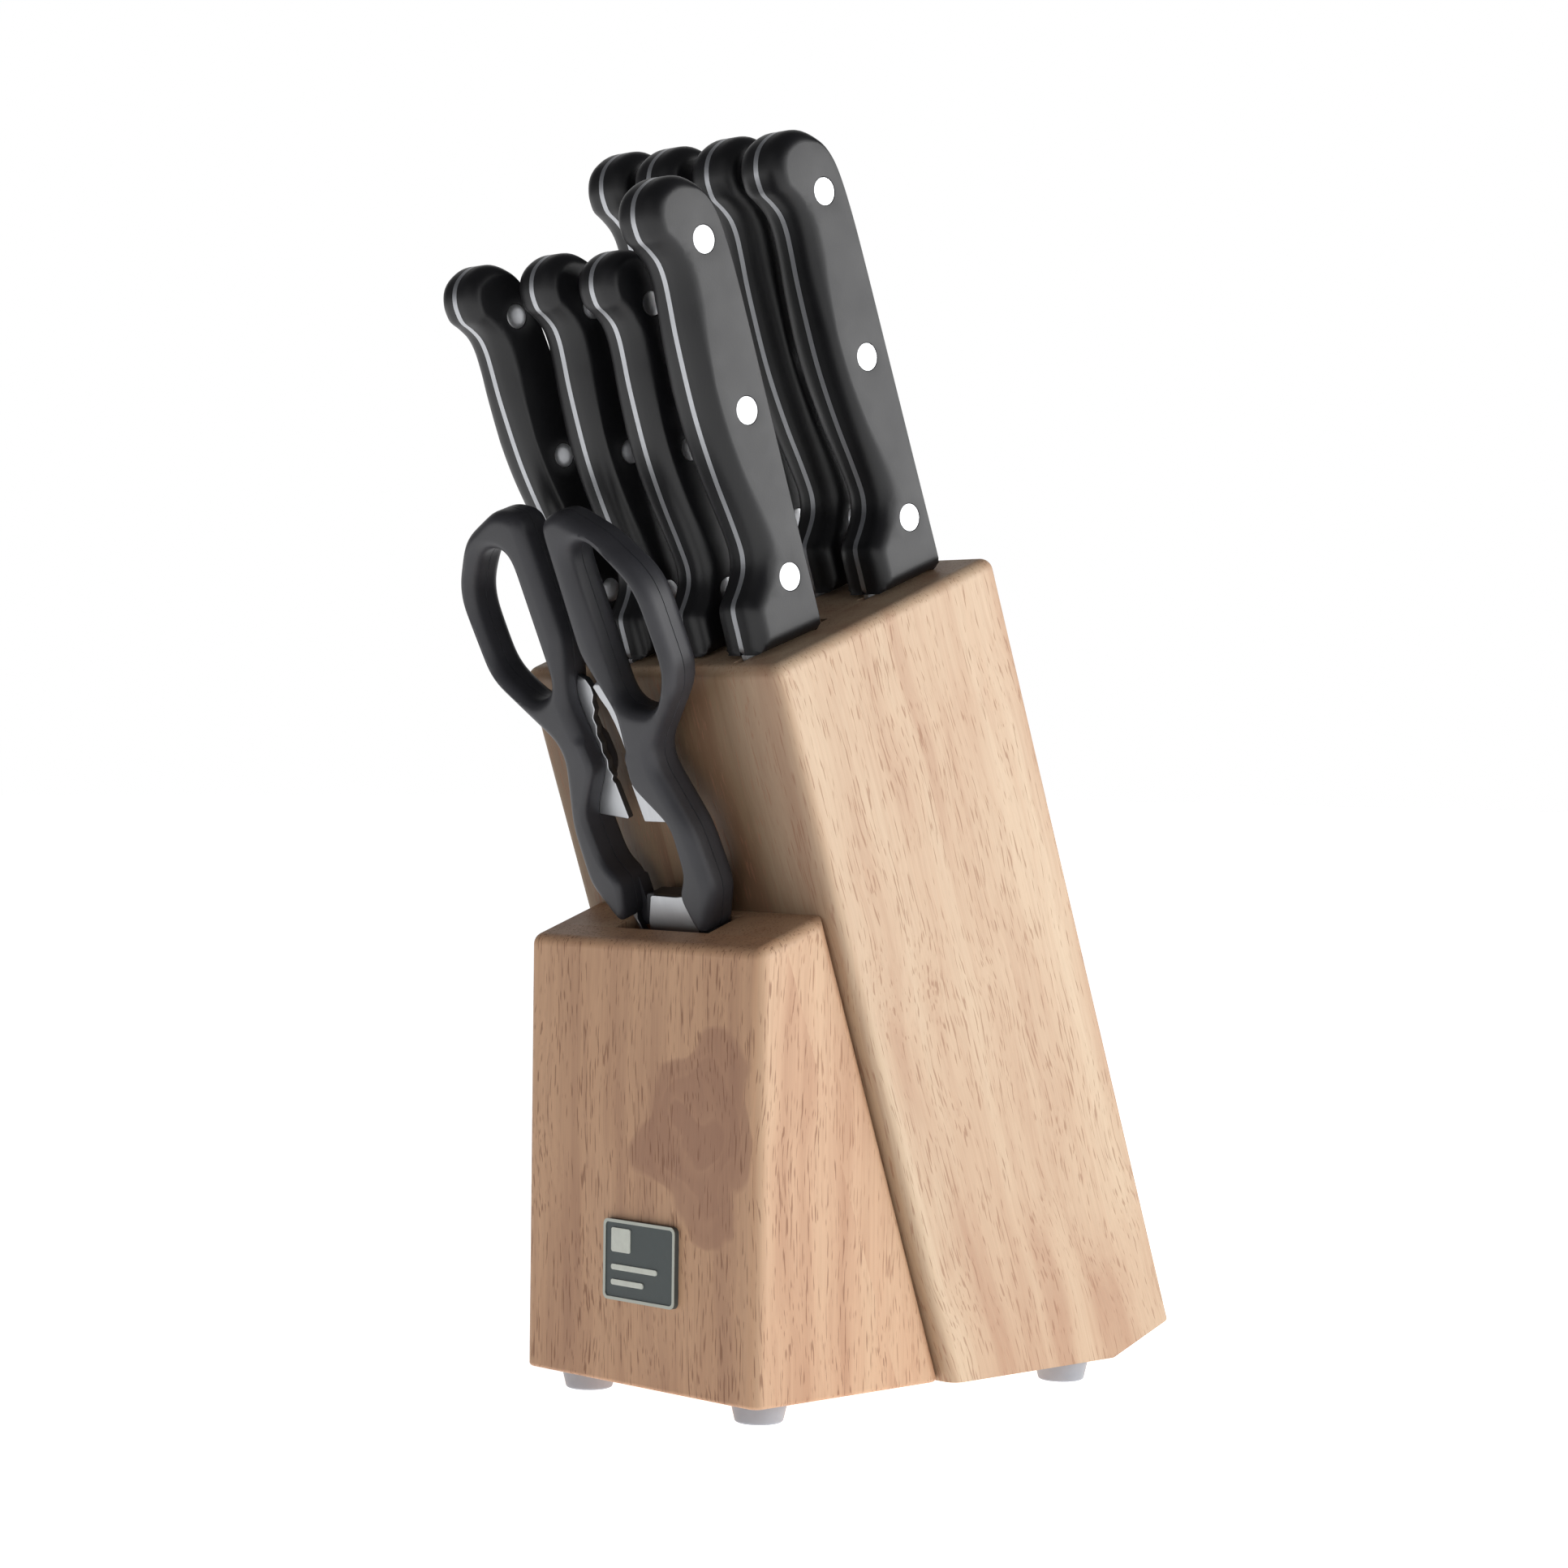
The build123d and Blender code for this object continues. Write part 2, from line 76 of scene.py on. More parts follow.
# column, t of the handle's front, lift, forward tilt, blade length, blade depth, handle size, edge
KNIVES = {
    "paring_knife": (0, 4.3, 1.4, 4.8, 88, 17.3, SMALL, "pointed"),
    "vegetable_knife": (1, 4.4, 0.9, 0.1, 95, 17.5, SMALL, "straight"),
    "utility_knife": (2, 6.2, 0.7, 0.4, 125, 17.3, UTILITY, "pointed"),
    "cook_knife": (3, 5.2, 1.1, -0.3, 165, 19.8, LARGE, "pointed"),
    "bread_knife": (0, 51.4, 3.1, -0.4, 200, 19.8, LARGE, "round"),
    "carving_knife": (1, 50.9, 2.5, 0.5, 200, 19.8, LARGE, "pointed"),
    "slicing_knife": (2, 52.2, 2.4, 0.6, 190, 19.4, LARGE, "straight"),
    "chef_knife": (3, 50.1, 2.2, 0.9, 200, 19.9, LARGE, "pointed"),
}
EDGE_CURVES = {"pointed": (0.30, 0.86), "straight": (0.70, 0.93), "round": (0.84, 0.995)}

SCISSORS_T = -9.0
SCISSORS_TILT = radians(6.0)
SCISSORS_X = -1.9
HANDLE_FOOT = ((14.0, -5.8, 2.2), (22.8, 8.0, 10), (22.2, 24.0, 20), (15.6, 44.0, 8))
HANDLE_INNER = (
    (2.6, 72, 12), (8.6, 56.0, 8), (6.2, 37.5, 2.6), (15.6, 26.0, 6), (14.8, 13.0, 6), (10.4, 8.0, 3),
)
LOOPS = {
    "right": ((35.0, 61.5, 13), (34.6, 87.5, 18), (23.4, 100.0, 16), (11.0, 108.6, 7), (4.0, 106.6, 4)),
    "left": ((34.6, 64.5, 13), (36.2, 88.5, 16), (26.5, 101.5, 14), (11.5, 107.0, 9), (2.8, 104, 4)),
}
HOLES = {
    "right": ((10.6, 57.5, 5.5), (23.5, 54.2, 6), (30.6, 64.5, 10), (30.0, 85.5, 14), (18.6, 100.0, 5.5),
              (10.6, 99.0, 4.2)),
    "left": ((11.2, 58.6, 5.5), (21.5, 56.4, 6), (31.3, 67, 10), (31.8, 86.5, 14), (21.0, 98.2, 6.5),
             (11.2, 96.3, 4.2)),
}
HALF_RAISE = {"right": 0.0, "left": 5.0}
# Corners of the two steel plates; the third number rounds a corner.
PLATES = {
    "right": (
        (-1.8, -100, 0.3), (-5.5, -80, 90), (-8.5, -50, 90), (-9.8, -22, 20), (-9.6, -10, 6), (-7.9, 1.0, 4),
        (-3.9, 8.1, 1.3), (5.5, 6.9, 0), (15.0, 6.9, 0), (17.5, 18.0, 0), (17.0, 25.8, 0), (3.3, 27.3, 0.5),
        (3.0, 36.9, 0.5), (4.2, 40.0, 3), (5.0, 45.2, 8), (4.9, 48.8, 8), (4.5, 52.5, 8), (3.5, 56.8, 6),
        (1.9, 60.0, 3), (0.7, 63.3, 0.4), (3.0, 64.5, 0), (5.6, 61.5, 0), (8.8, 57.0, 0), (10.5, 51.0, 0),
        (14.0, 46.0, 0), (19.4, 28.0, 0), (18.6, 8.0, 0), (12.5, 1.5, 1), (9.5, -3.0, 2), (8.6, -14, 6),
        (5.5, -22, 8), (3.6, -34, 20), (2.2, -60, 40), (0.6, -90, 10),
    ),
    "left": (
        (-1.8, -100, 0.3), (-5.5, -80, 90), (-8.5, -50, 90), (-9.6, -22, 20), (-9.4, -14, 4),
        (-7.2, -9.8, 3), (-3.0, -7.2, 3), (1.5, -7.0, 2), (8.5, -4.2, 3), (13.8, -1.6, 0), (14.4, 1.5, 0), (11.4, 11.0, 0),
        (16.5, 14.0, 0), (17.5, 23.0, 0), (17.0, 30.6, 0), (4.7, 27.9, 0.5), (5.4, 37.6, 0.5),
        (6.2, 38.6, 0.4), (5.2, 39.6, 0.6), (6.2, 41.6, 0.8), (5.4, 43.8, 0.6), (6.3, 46.0, 0.8),
        (5.6, 48.3, 0.6), (6.3, 50.6, 0.8), (5.2, 52.8, 0.6), (5.6, 55.0, 0.8), (3.9, 57.0, 0.6),
        (3.9, 59.0, 0.8), (2.6, 60.8, 0.6), (2.6, 63.0, 1), (3.6, 65.0, 1), (6.0, 66.5, 0), (9.0, 61.5, 0),
        (10.8, 56.0, 0), (14.0, 51.0, 0), (19.4, 33.0, 0), (18.6, 13.0, 0), (15.9, 4.4, 2), (14.8, -3.0, 2),
        (11.5, -7.0, 2), (8.6, -14, 6), (5.5, -22, 8), (3.6, -34, 20), (2.2, -60, 40), (0.6, -90, 10),
    ),
}
# Plastic that reaches out behind the plates at each handle's foot, and the depth where it starts.
WEBS = {
    "right": (-0.05, (
        (-7.4, 8.1, 1.2), (-9.9, 2.1, 1), (-9.6, 1.0, 0), (-2.0, -5.5, 0), (13.5, -5.5, 0), (16.5, 2.0, 0),
        (14.0, 6.8, 0), (5.5, 6.9, 0))),
    "left": (1.9, (
        (10.6, 12.4, 1), (10.6, 2.0, 1), (12.0, -0.6, 0), (15.0, -0.6, 0), (17.0, 6.0, 0), (14.0, 13.0, 0))),
}
PLATE = 1.85
PLATE_GAP = 0.1

# ------------------------------------------------------------------ frames
face_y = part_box("front_block_face")[0].y / MM
across = Vector((1, 0, 0))
deep = Vector((0, cos(LEAN), sin(LEAN)))
up = Vector((0, -sin(LEAN), cos(LEAN)))


def leaning_matrix(y, z):
    """A frame whose axes run across, square into the leaning block, and up along the lean."""
    m = Matrix((across, deep, up)).transposed().to_4x4()
    m.translation = Vector((0, y, z)) * MM
    return m


main_frame = leaning_matrix(
    face_y + FRONT_DEPTH - MAIN_FRONT * sin(LEAN), FOOT_HEIGHT + MAIN_FRONT * cos(LEAN))
meet_y = (FRONT_DEPTH - FRONT_HEIGHT * tan(LEAN)) / (1 + tan(LEAN) ** 2)
meet_frame = leaning_matrix(face_y + meet_y, FOOT_HEIGHT + FRONT_HEIGHT + meet_y * tan(LEAN))
scissors_frame = (
    meet_frame
    @ Matrix.Translation(Vector((SCISSORS_X, SCISSORS_T, 0)) * MM)
    @ Matrix.Rotation(-SCISSORS_TILT, 4, "Y")
)


# ------------------------------------------------------------------ outlines
def filleted(corners, step=1.1):
    """A closed outline through corners that each carry their own radius, as an even row of points."""
    pts = [np.array(c[:2], float) for c in corners]
    path = []
    for i, p in enumerate(pts):
        a, b = pts[i - 1], pts[(i + 1) % len(pts)]
        u = (a - p) / np.linalg.norm(a - p)
        v = (b - p) / np.linalg.norm(b - p)
        angle = np.arccos(np.clip(u @ v, -1, 1))
        radius = corners[i][2]
        if radius <= 0 or abs(pi - angle) < 1e-3:
            path.append(p)
            continue
        reach = radius / np.tan(angle / 2)
        centre = p + (u + v) / np.linalg.norm(u + v) * radius / np.sin(angle / 2)
        s, e = p + u * reach - centre, p + v * reach - centre
        a0 = np.arctan2(s[1], s[0])
        turn = (np.arctan2(e[1], e[0]) - a0 + pi) % (2 * pi) - pi
        n = max(3, int(abs(turn) / 0.16), int(abs(turn) * radius / step))
        for k in range(n + 1):
            t = a0 + turn * k / n
            path.append(centre + radius * np.array((np.cos(t), np.sin(t))))
    return divided(np.array(path), step)


def divided(path, step):
    """The same closed line with its long runs cut into steps."""
    out = []
    for p, q in zip(path, np.roll(path, -1, axis=0)):
        gap = np.linalg.norm(q - p)
        if gap < 1e-6:
            continue
        n = max(1, int(round(gap / step)))
        out.extend(p + (q - p) * k / n for k in range(n))
    return np.array(out)


def flowing(points, step=1.1):
    """A closed smooth line through points, as an even row of points."""
    p = np.array(points, float)
    out = []
    for a, b, c, d in zip(np.roll(p, 1, 0), p, np.roll(p, -1, 0), np.roll(p, -2, 0)):
        n = max(2, int(np.linalg.norm(c - b) / 0.25))
        k = (np.arange(n) / n)[:, None]
        out.append(0.5 * (2 * b + (c - a) * k + (2 * a - 5 * b + 4 * c - d) * k ** 2
                          + (3 * b - 3 * c + d - a) * k ** 3))
    return evened(np.concatenate(out), step)


def evened(path, step):
    """A closed line's points, spaced alike along it."""
    closed = np.concatenate([path, path[:1]])
    run = np.concatenate([[0], np.cumsum(np.linalg.norm(np.diff(closed, axis=0), axis=1))])
    s = np.arange(int(round(run[-1] / step))) * run[-1] / int(round(run[-1] / step))
    return np.stack([np.interp(s, run, closed[:, 0]), np.interp(s, run, closed[:, 1])], 1)


def relaxed(path, reach, step=1.0):
    """A closed line with its corners eased over a reach in millimetres."""
    p = evened(path, step)
    n = max(1, int(3 * reach / step))
    k = np.arange(-n, n + 1)
    w = np.exp(-0.5 * (k * step / reach) ** 2)
    return sum(wi * np.roll(p, ki, axis=0) for wi, ki in zip(w / w.sum(), k))


def circle(centre, radius, n=40):
    t = np.arange(n) * 2 * pi / n
    return np.stack([centre[0] + radius * np.cos(t), centre[1] + radius * np.sin(t)], 1)


def turned(loop, anticlockwise=True):
    """The loop in the wanted sense."""
    nxt = np.roll(loop, -1, axis=0)
    area = np.sum(loop[:, 0] * nxt[:, 1] - nxt[:, 0] * loop[:, 1])
    return loop if (area > 0) == anticlockwise else loop[::-1].copy()


def inward(loop):
    """Normals that point into the material of a loop that keeps it on its left."""
    t = np.roll(loop, -1, axis=0) - np.roll(loop, 1, axis=0)
    t /= np.maximum(np.linalg.norm(t, axis=1, keepdims=True), 1e-9)
    return np.stack([-t[:, 1], t[:, 0]], 1)


def nearest(points, loops, values):
    """Distance of each point to the loops, and the value carried by the nearest place on them."""
    best = np.full(len(points), 1e9)
    found = np.zeros(len(points))
    for loop, value in zip(loops, values):
        p, q = loop, np.roll(loop, -1, axis=0)
        d = q - p
        w = points[:, None, :] - p[None]
        k = np.clip((w * d).sum(2) / np.maximum((d * d).sum(1), 1e-12), 0, 1)
        gap = np.linalg.norm(w - k[..., None] * d, axis=2)
        at = gap.argmin(1)
        rows = np.arange(len(points))
        g = gap[rows, at]
        kk = k[rows, at]
        v = value[at] * (1 - kk) + np.roll(value, -1)[at] * kk
        near = g < best
        best[near], found[near] = g[near], v[near]
    return best, found


def inside(points, loops):
    """Even-odd test against all the loops."""
    odd = np.zeros(len(points), bool)
    for loop in loops:
        p, q = loop, np.roll(loop, -1, axis=0)
        y = points[:, 1][:, None]
        crosses = (p[:, 1] > y) != (q[:, 1] > y)
        dy = np.where(q[:, 1] == p[:, 1], 1e-12, q[:, 1] - p[:, 1])
        x = p[:, 0] + (y - p[:, 1]) / dy * (q[:, 0] - p[:, 0])
        odd ^= (np.sum(crosses & (points[:, 0][:, None] < x), axis=1) % 2) == 1
    return odd


def triangulated(loops, extra):
    """Triangles over the material inside the loops, through the loops' points and the extra ones."""
    points = np.concatenate([*loops, extra]) if len(extra) else np.concatenate(loops)
    edges = []
    start = 0
    for loop in loops:
        n = len(loop)
        edges += [(start + i, start + (i + 1) % n) for i in range(n)]
        start += n
    verts, _, faces, *_ = delaunay_2d_cdt([Vector(p) for p in points], edges, [], 0, 1e-6)
    verts = np.array([tuple(v) for v in verts])
    faces = np.array([tuple(f) for f in faces])
    return verts, faces[within(verts, faces, edges, loops)]


def within(verts, faces, edges, loops):
    """Which triangles lie inside: each region that the edges close off is judged by its biggest one."""
    fence = {frozenset(e) for e in edges}
    beside = {}
    for f, (a, b, c) in enumerate(faces):
        for e in ((a, b), (b, c), (c, a)):
            beside.setdefault(frozenset((int(e[0]), int(e[1]))), []).append(f)
    near = [[] for _ in faces]
    for e, both in beside.items():
        if e not in fence and len(both) == 2:
            near[both[0]].append(both[1])
            near[both[1]].append(both[0])
    corner = verts[faces]
    u, v = corner[:, 1] - corner[:, 0], corner[:, 2] - corner[:, 0]
    area = np.abs(u[:, 0] * v[:, 1] - u[:, 1] * v[:, 0])
    odd = inside(corner.mean(1), loops)
    keep = np.zeros(len(faces), bool)
    done = np.zeros(len(faces), bool)
    for f in range(len(faces)):
        if done[f]:
            continue
        done[f] = True
        region = [f]
        for g in region:
            for h in near[g]:
                if not done[h]:
                    done[h] = True
                    region.append(h)
        keep[region] = odd[max(region, key=lambda g: area[g])]
    return keep


# ------------------------------------------------------------------ solids
ROUND_STEPS = 8


def rounded_rings(loops, insets):
    """Points at the distances where a quarter-round of each loop's own inset turns evenly."""
    rows = []
    for k in range(1, ROUND_STEPS + 1):
        share = 1 - cos(k / ROUND_STEPS * pi / 2)
        for loop, inset in zip(loops, insets):
            wanted = inset * share
            moved = loop + inward(loop) * wanted[:, None]
            gap, _ = nearest(moved, loops, insets)
            rows.append(moved[(gap > wanted * 0.97) & (wanted > 0.02)])
    return np.concatenate(rows)


def filling(loops, insets, pitch):
    """A staggered grid of points well inside the quarter-round."""
    low, high = loops[0].min(0), loops[0].max(0)
    xs = np.arange(low[0], high[0], pitch)
    ys = np.arange(low[1], high[1], pitch * 0.866)
    gx, gy = np.meshgrid(xs, ys)
    gx = gx + (np.arange(len(ys)) % 2 * pitch / 2)[:, None]
    grid = np.stack([gx.ravel(), gy.ravel()], 1)
    grid = grid[inside(grid, loops)]
    gap, inset = nearest(grid, loops, insets)
    return grid[gap > inset + pitch * 0.45]


def rounding(share):
    """How far a quarter-round has still to rise, from 1 at its foot to 0 at its top."""
    return 1 - np.sqrt(np.clip(1 - (1 - np.clip(share, 0, 1)) ** 2, 0, 1))


def quarter_round(points, loops, insets, height, drop, full):
    """Height of a face with rounded edges: the round goes drop deep where its inset is full or more."""
    gap, inset = nearest(points, loops, insets)
    fall = drop * np.clip(inset / full, 0, 1)
    return height - fall * rounding(gap / np.maximum(inset, 1e-3))


def mesh_from(name, verts, faces, to3d, sharp=radians(38)):
    """A smooth-shaded mesh, closed and turned outwards, with its hard edges marked."""
    bm = bmesh.new()
    made = [bm.verts.new(Vector(to3d(v)) * MM) for v in verts]
    for f in faces:
        try:
            bm.faces.new([made[i] for i in f])
        except ValueError:
            pass
    bmesh.ops.remove_doubles(bm, verts=bm.verts, dist=1e-7)
    loose = [v for v in bm.verts if not v.link_faces]
    bmesh.ops.delete(bm, geom=loose, context="VERTS")
    bmesh.ops.recalc_face_normals(bm, faces=bm.faces)
    for f in bm.faces:
        f.smooth = True
    for e in bm.edges:
        e.smooth = not (len(e.link_faces) == 2 and e.calc_face_angle(0) > sharp)
    mesh = bpy.data.meshes.new(name)
    bm.to_mesh(mesh)
    bm.free()
    return mesh


def slab(name, loops, extra, upper, lower, to3d, wall=(), plain_back=False):
    """A solid between two surfaces over the loops. wall lists (height, inset) of rings down its sides."""
    flat, tris = triangulated(loops, extra)
    back, back_tris = triangulated(loops, np.zeros((0, 2))) if plain_back else (flat, tris)
    base = len(flat)
    verts = [np.column_stack([flat, upper(flat)]), np.column_stack([back, lower(back)])]
    faces = [tuple(t) for t in tris] + [tuple(i + base for i in t[::-1]) for t in back_tris]
    count = base + len(back)
    start = 0
    for loop in loops:
        n = len(loop)
        rings = [list(range(start, start + n))]
        for height, inset in wall:
            verts.append(np.column_stack([loop + inward(loop) * inset, np.full(n, height)]))
            rings.append(list(range(count, count + n)))
            count += n
        rings.append(list(range(base + start, base + start + n)))
        for a, b in zip(rings, rings[1:]):
            faces += [(a[i], b[i], b[(i + 1) % n], a[(i + 1) % n]) for i in range(n)]
        start += n
    return mesh_from(name, np.concatenate(verts), faces, to3d)


def pillow_points(loops, insets, pitch):
    return np.concatenate([rounded_rings(loops, insets), filling(loops, insets, pitch)])


def joined(name, *meshes):
    """One mesh holding several closed shells."""
    bm = bmesh.new()
    for mesh in meshes:
        bm.from_mesh(mesh)
        bpy.data.meshes.remove(mesh)
    out = bpy.data.meshes.new(name)
    bm.to_mesh(out)
    bm.free()
    return out


def lathe(name, profile, segments=48):
    """A solid of revolution about z from (radius, z) pairs; ends at radius 0 close it."""
    verts, faces, rings = [], [], []
    for r, z in profile:
        if r < 1e-6:
            rings.append([len(verts)])
            verts.append((0, 0, z))
            continue
        rings.append(list(range(len(verts), len(verts) + segments)))
        angles = [2 * pi * k / segments for k in range(segments)]
        verts += [(r * cos(a), r * sin(a), z) for a in angles]
    for a, b in zip(rings, rings[1:]):
        for k in range(segments):
            j = (k + 1) % segments
            if len(a) == 1:
                faces.append((a[0], b[k], b[j]))
            elif len(b) == 1:
                faces.append((a[k], b[0], a[j]))
            else:
                faces.append((a[k], b[k], b[j], a[j]))
    return mesh_from(name, verts, faces, lambda v: v, radians(50))


def piece(name, mesh, matrix, body, material, slot, *replaced):
    """A named object in the shared frame, which rides on a body and stands for CAD nodes."""
    mesh = mesh.copy()
    mesh.name = name
    mesh.transform(matrix)
    mesh.materials.append(material)
    ob = bpy.data.objects.new(name, mesh)
    scene.collection.objects.link(ob)
    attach(ob, body)
    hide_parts(*replaced)
    return ob


# ------------------------------------------------------------------ materials
def srgb(r, g, b):
    """Linear colour from 0-255 display values."""
    return tuple(((c / 255 + 0.055) / 1.055) ** 2.4 if c > 10 else c / 255 / 12.92 for c in (r, g, b)) + (1,)


def toned(colour, factor):
    """The colour made darker or lighter by a factor."""
    return tuple(c * factor for c in colour[:3]) + (1,)


class Nodes:
    """A few short names for building a node tree."""

    def __init__(self, name):
        self.material = bpy.data.materials.new(name)
        self.material.use_nodes = True
        self.tree = self.material.node_tree
        self.tree.nodes.clear()
        self.out = self.tree.nodes.new("ShaderNodeOutputMaterial")
        self.shader = self.tree.nodes.new("ShaderNodeBsdfPrincipled")
        self.link(self.shader.outputs[0], self.out.inputs[0])

    def link(self, a, b):
        self.tree.links.new(a, b)

    def put(self, socket, value):
        if isinstance(value, bpy.types.NodeSocket):
            self.link(value, socket)
        else:
            socket.default_value = value

    def position(self, scale=(1, 1, 1), turn=(0, 0, 0), offset=(0, 0, 0)):
        """Object coordinates, turned and then scaled, in metres times the scale."""
        co = self.tree.nodes.new("ShaderNodeTexCoord").outputs["Object"]
        turner = self.tree.nodes.new("ShaderNodeMapping")
        turner.inputs["Rotation"].default_value = turn
        turner.inputs["Location"].default_value = offset
        self.link(co, turner.inputs["Vector"])
        return self.scaled(turner.outputs[0], scale)

    def scaled(self, vector, scale):
        node = self.tree.nodes.new("ShaderNodeVectorMath")
        node.operation = "MULTIPLY"
        self.put(node.inputs[0], vector)
        node.inputs[1].default_value = scale
        return node.outputs[0]

    def noise(self, vector, scale=1.0, detail=2.0, rough=0.5, distortion=0.0):
        node = self.tree.nodes.new("ShaderNodeTexNoise")
        self.put(node.inputs["Vector"], vector)
        node.inputs["Scale"].default_value = scale
        node.inputs["Detail"].default_value = detail
        node.inputs["Roughness"].default_value = rough
        node.inputs["Distortion"].default_value = distortion
        return node.outputs[0]

    def ramp(self, value, *stops):
        node = self.tree.nodes.new("ShaderNodeValToRGB")
        self.put(node.inputs[0], value)
        elements = node.color_ramp.elements
        while len(elements) > 1:
            elements.remove(elements[-1])
        for i, (at, colour) in enumerate(stops):
            e = elements[0] if i == 0 else elements.new(at)
            e.position = at
            e.color = colour if isinstance(colour, tuple) else (colour, colour, colour, 1)
        return node.outputs[0]

    def math(self, operation, a, b=0.0, clamp=False):
        node = self.tree.nodes.new("ShaderNodeMath")
        node.operation = operation
        node.use_clamp = clamp
        self.put(node.inputs[0], a)
        self.put(node.inputs[1], b)
        return node.outputs[0]

    def mix(self, factor, a, b, blend="MIX"):
        node = self.tree.nodes.new("ShaderNodeMix")
        node.data_type = "RGBA"
        node.blend_type = blend
        self.put(node.inputs["Factor"], factor)
        self.put(node.inputs[6], a)
        self.put(node.inputs[7], b)
        return node.outputs[2]

    def facing(self, axis, low, high):
        """From 0 to 1 as the surface turns towards one axis of the object."""
        normal = self.tree.nodes.new("ShaderNodeTexCoord").outputs["Normal"]
        node = self.tree.nodes.new("ShaderNodeVectorMath")
        node.operation = "DOT_PRODUCT"
        self.put(node.inputs[0], normal)
        node.inputs[1].default_value = axis
        return self.ramp(node.outputs["Value"], (low, 0.0), (high, 1.0))

    def add(self, a, b):
        node = self.tree.nodes.new("ShaderNodeVectorMath")
        node.operation = "ADD"
        self.put(node.inputs[0], a)
        self.put(node.inputs[1], b)
        return node.outputs[0]

    def bump(self, height, strength, distance, normal=None):
        node = self.tree.nodes.new("ShaderNodeBump")
        node.inputs["Strength"].default_value = strength
        node.inputs["Distance"].default_value = distance
        self.put(node.inputs["Height"], height)
        if normal is not None:
            self.link(normal, node.inputs["Normal"])
        return node.outputs[0]

    def set(self, **values):
        for key, value in values.items():
            self.put(self.shader.inputs[key.replace("_", " ")], value)


def wood(name, light, mid, dark, pore, lean=LEAN, offset=(0, 0, 0), pores=0.5, figure=None, side=None,
         shade=0.0):
    """Oiled rubberwood: soft bands and fine lines along the grain, and short dark pores.

    side holds paler tones, painted light on the faces that look right; shade is the strength of the painted
    shade on faces that look forward and down along the lean, less towards the right.
    """
    n = Nodes(name)
    turn = (-lean, 0, 0)
    at = n.position(turn=turn, offset=offset)
    wobble = n.noise(n.scaled(at, (22, 22, 9)), detail=2)
    wave = n.tree.nodes.new("ShaderNodeCombineXYZ")
    shift = n.math("MULTIPLY", n.math("SUBTRACT", wobble, 0.5), 0.018)
    n.put(wave.inputs[0], shift)
    n.put(wave.inputs[1], shift)
    bent = n.add(at, wave.outputs[0])
    bands = n.noise(n.scaled(bent, (75, 75, 4.2)), detail=3, rough=0.55)
    colour = n.ramp(bands, (0.30, light), (0.50, mid), (0.68, dark))
    clouds = n.noise(n.scaled(at, (30, 30, 14)), detail=2)
    colour = n.mix(n.ramp(clouds, (0.42, 0.0), (0.72, 0.70)), colour, light)
    lines = n.noise(n.scaled(bent, (760, 760, 6)), detail=3, rough=0.65)
    line_dark = n.ramp(lines, (0.47, 0.0), (0.70, 1.0))
    colour = n.mix(n.math("MULTIPLY", line_dark, 0.34), colour, dark)
    if figure is not None:
        colour = figure(n, at, colour, dark)
    # Painted light: faces that look right take the paler side tones, the lit look of the front block's right
    # side; this also hides the joint with the right rail.
    if side is not None:
        pale = n.ramp(bands, (0.30, side["light"]), (0.50, side["mid"]), (0.68, side["dark"]))
        pale = n.mix(n.math("MULTIPLY", line_dark, 0.34), pale, side["dark"])
        colour = n.mix(n.facing((1, 0, 0), 0.45, 0.80), colour, pale)
    # Painted shade: faces that look forward and down along the lean are darkened towards a deep brown, most
    # at the left beside the scissors and less towards the right edge.
    if shade:
        across = n.tree.nodes.new("ShaderNodeSeparateXYZ")
        n.link(n.position(), across.inputs[0])
        fade = n.ramp(n.math("MULTIPLY", across.outputs[0], 20.0), (0.50, shade), (0.88, 0.35 * shade))
        painted_shade_amount = n.math("MULTIPLY", n.facing((0, -0.94, -0.34), 0.50, 0.95), fade)
        colour = n.mix(painted_shade_amount, colour, (0.28, 0.24, 0.19, 1), "MULTIPLY")
    fibre = n.noise(n.scaled(bent, (2600, 2600, 60)), detail=2)
    colour = n.mix(0.10, colour, n.ramp(fibre, (0.3, 0.35), (0.7, 1.0)), "MULTIPLY")
    dash = n.noise(n.scaled(bent, (2000, 2000, 135)), detail=1.5, rough=0.45)
    density = n.noise(n.scaled(bent, (110, 110, 24)), detail=2)
    limit = n.math("ADD", dash, n.math("MULTIPLY", n.math("SUBTRACT", density, 0.5), 0.22))
    marks = n.ramp(limit, (0.600, 0.0), (0.675, 1.0))
    colour = n.mix(n.math("MULTIPLY", marks, pores), colour, pore)
    n.set(Base_Color=colour)
    gloss = n.ramp(bands, (0.2, 0.44), (0.8, 0.54))
    n.set(Roughness=n.math("ADD", gloss, n.math("MULTIPLY", marks, 0.18)))
    n.shader.inputs["Specular IOR Level"].default_value = 0.42
    height = n.math("SUBTRACT", n.math("MULTIPLY", lines, 0.35), n.math("MULTIPLY", marks, 1.0))
    n.set(Normal=n.bump(height, 0.30, 0.00018))
    return n.material


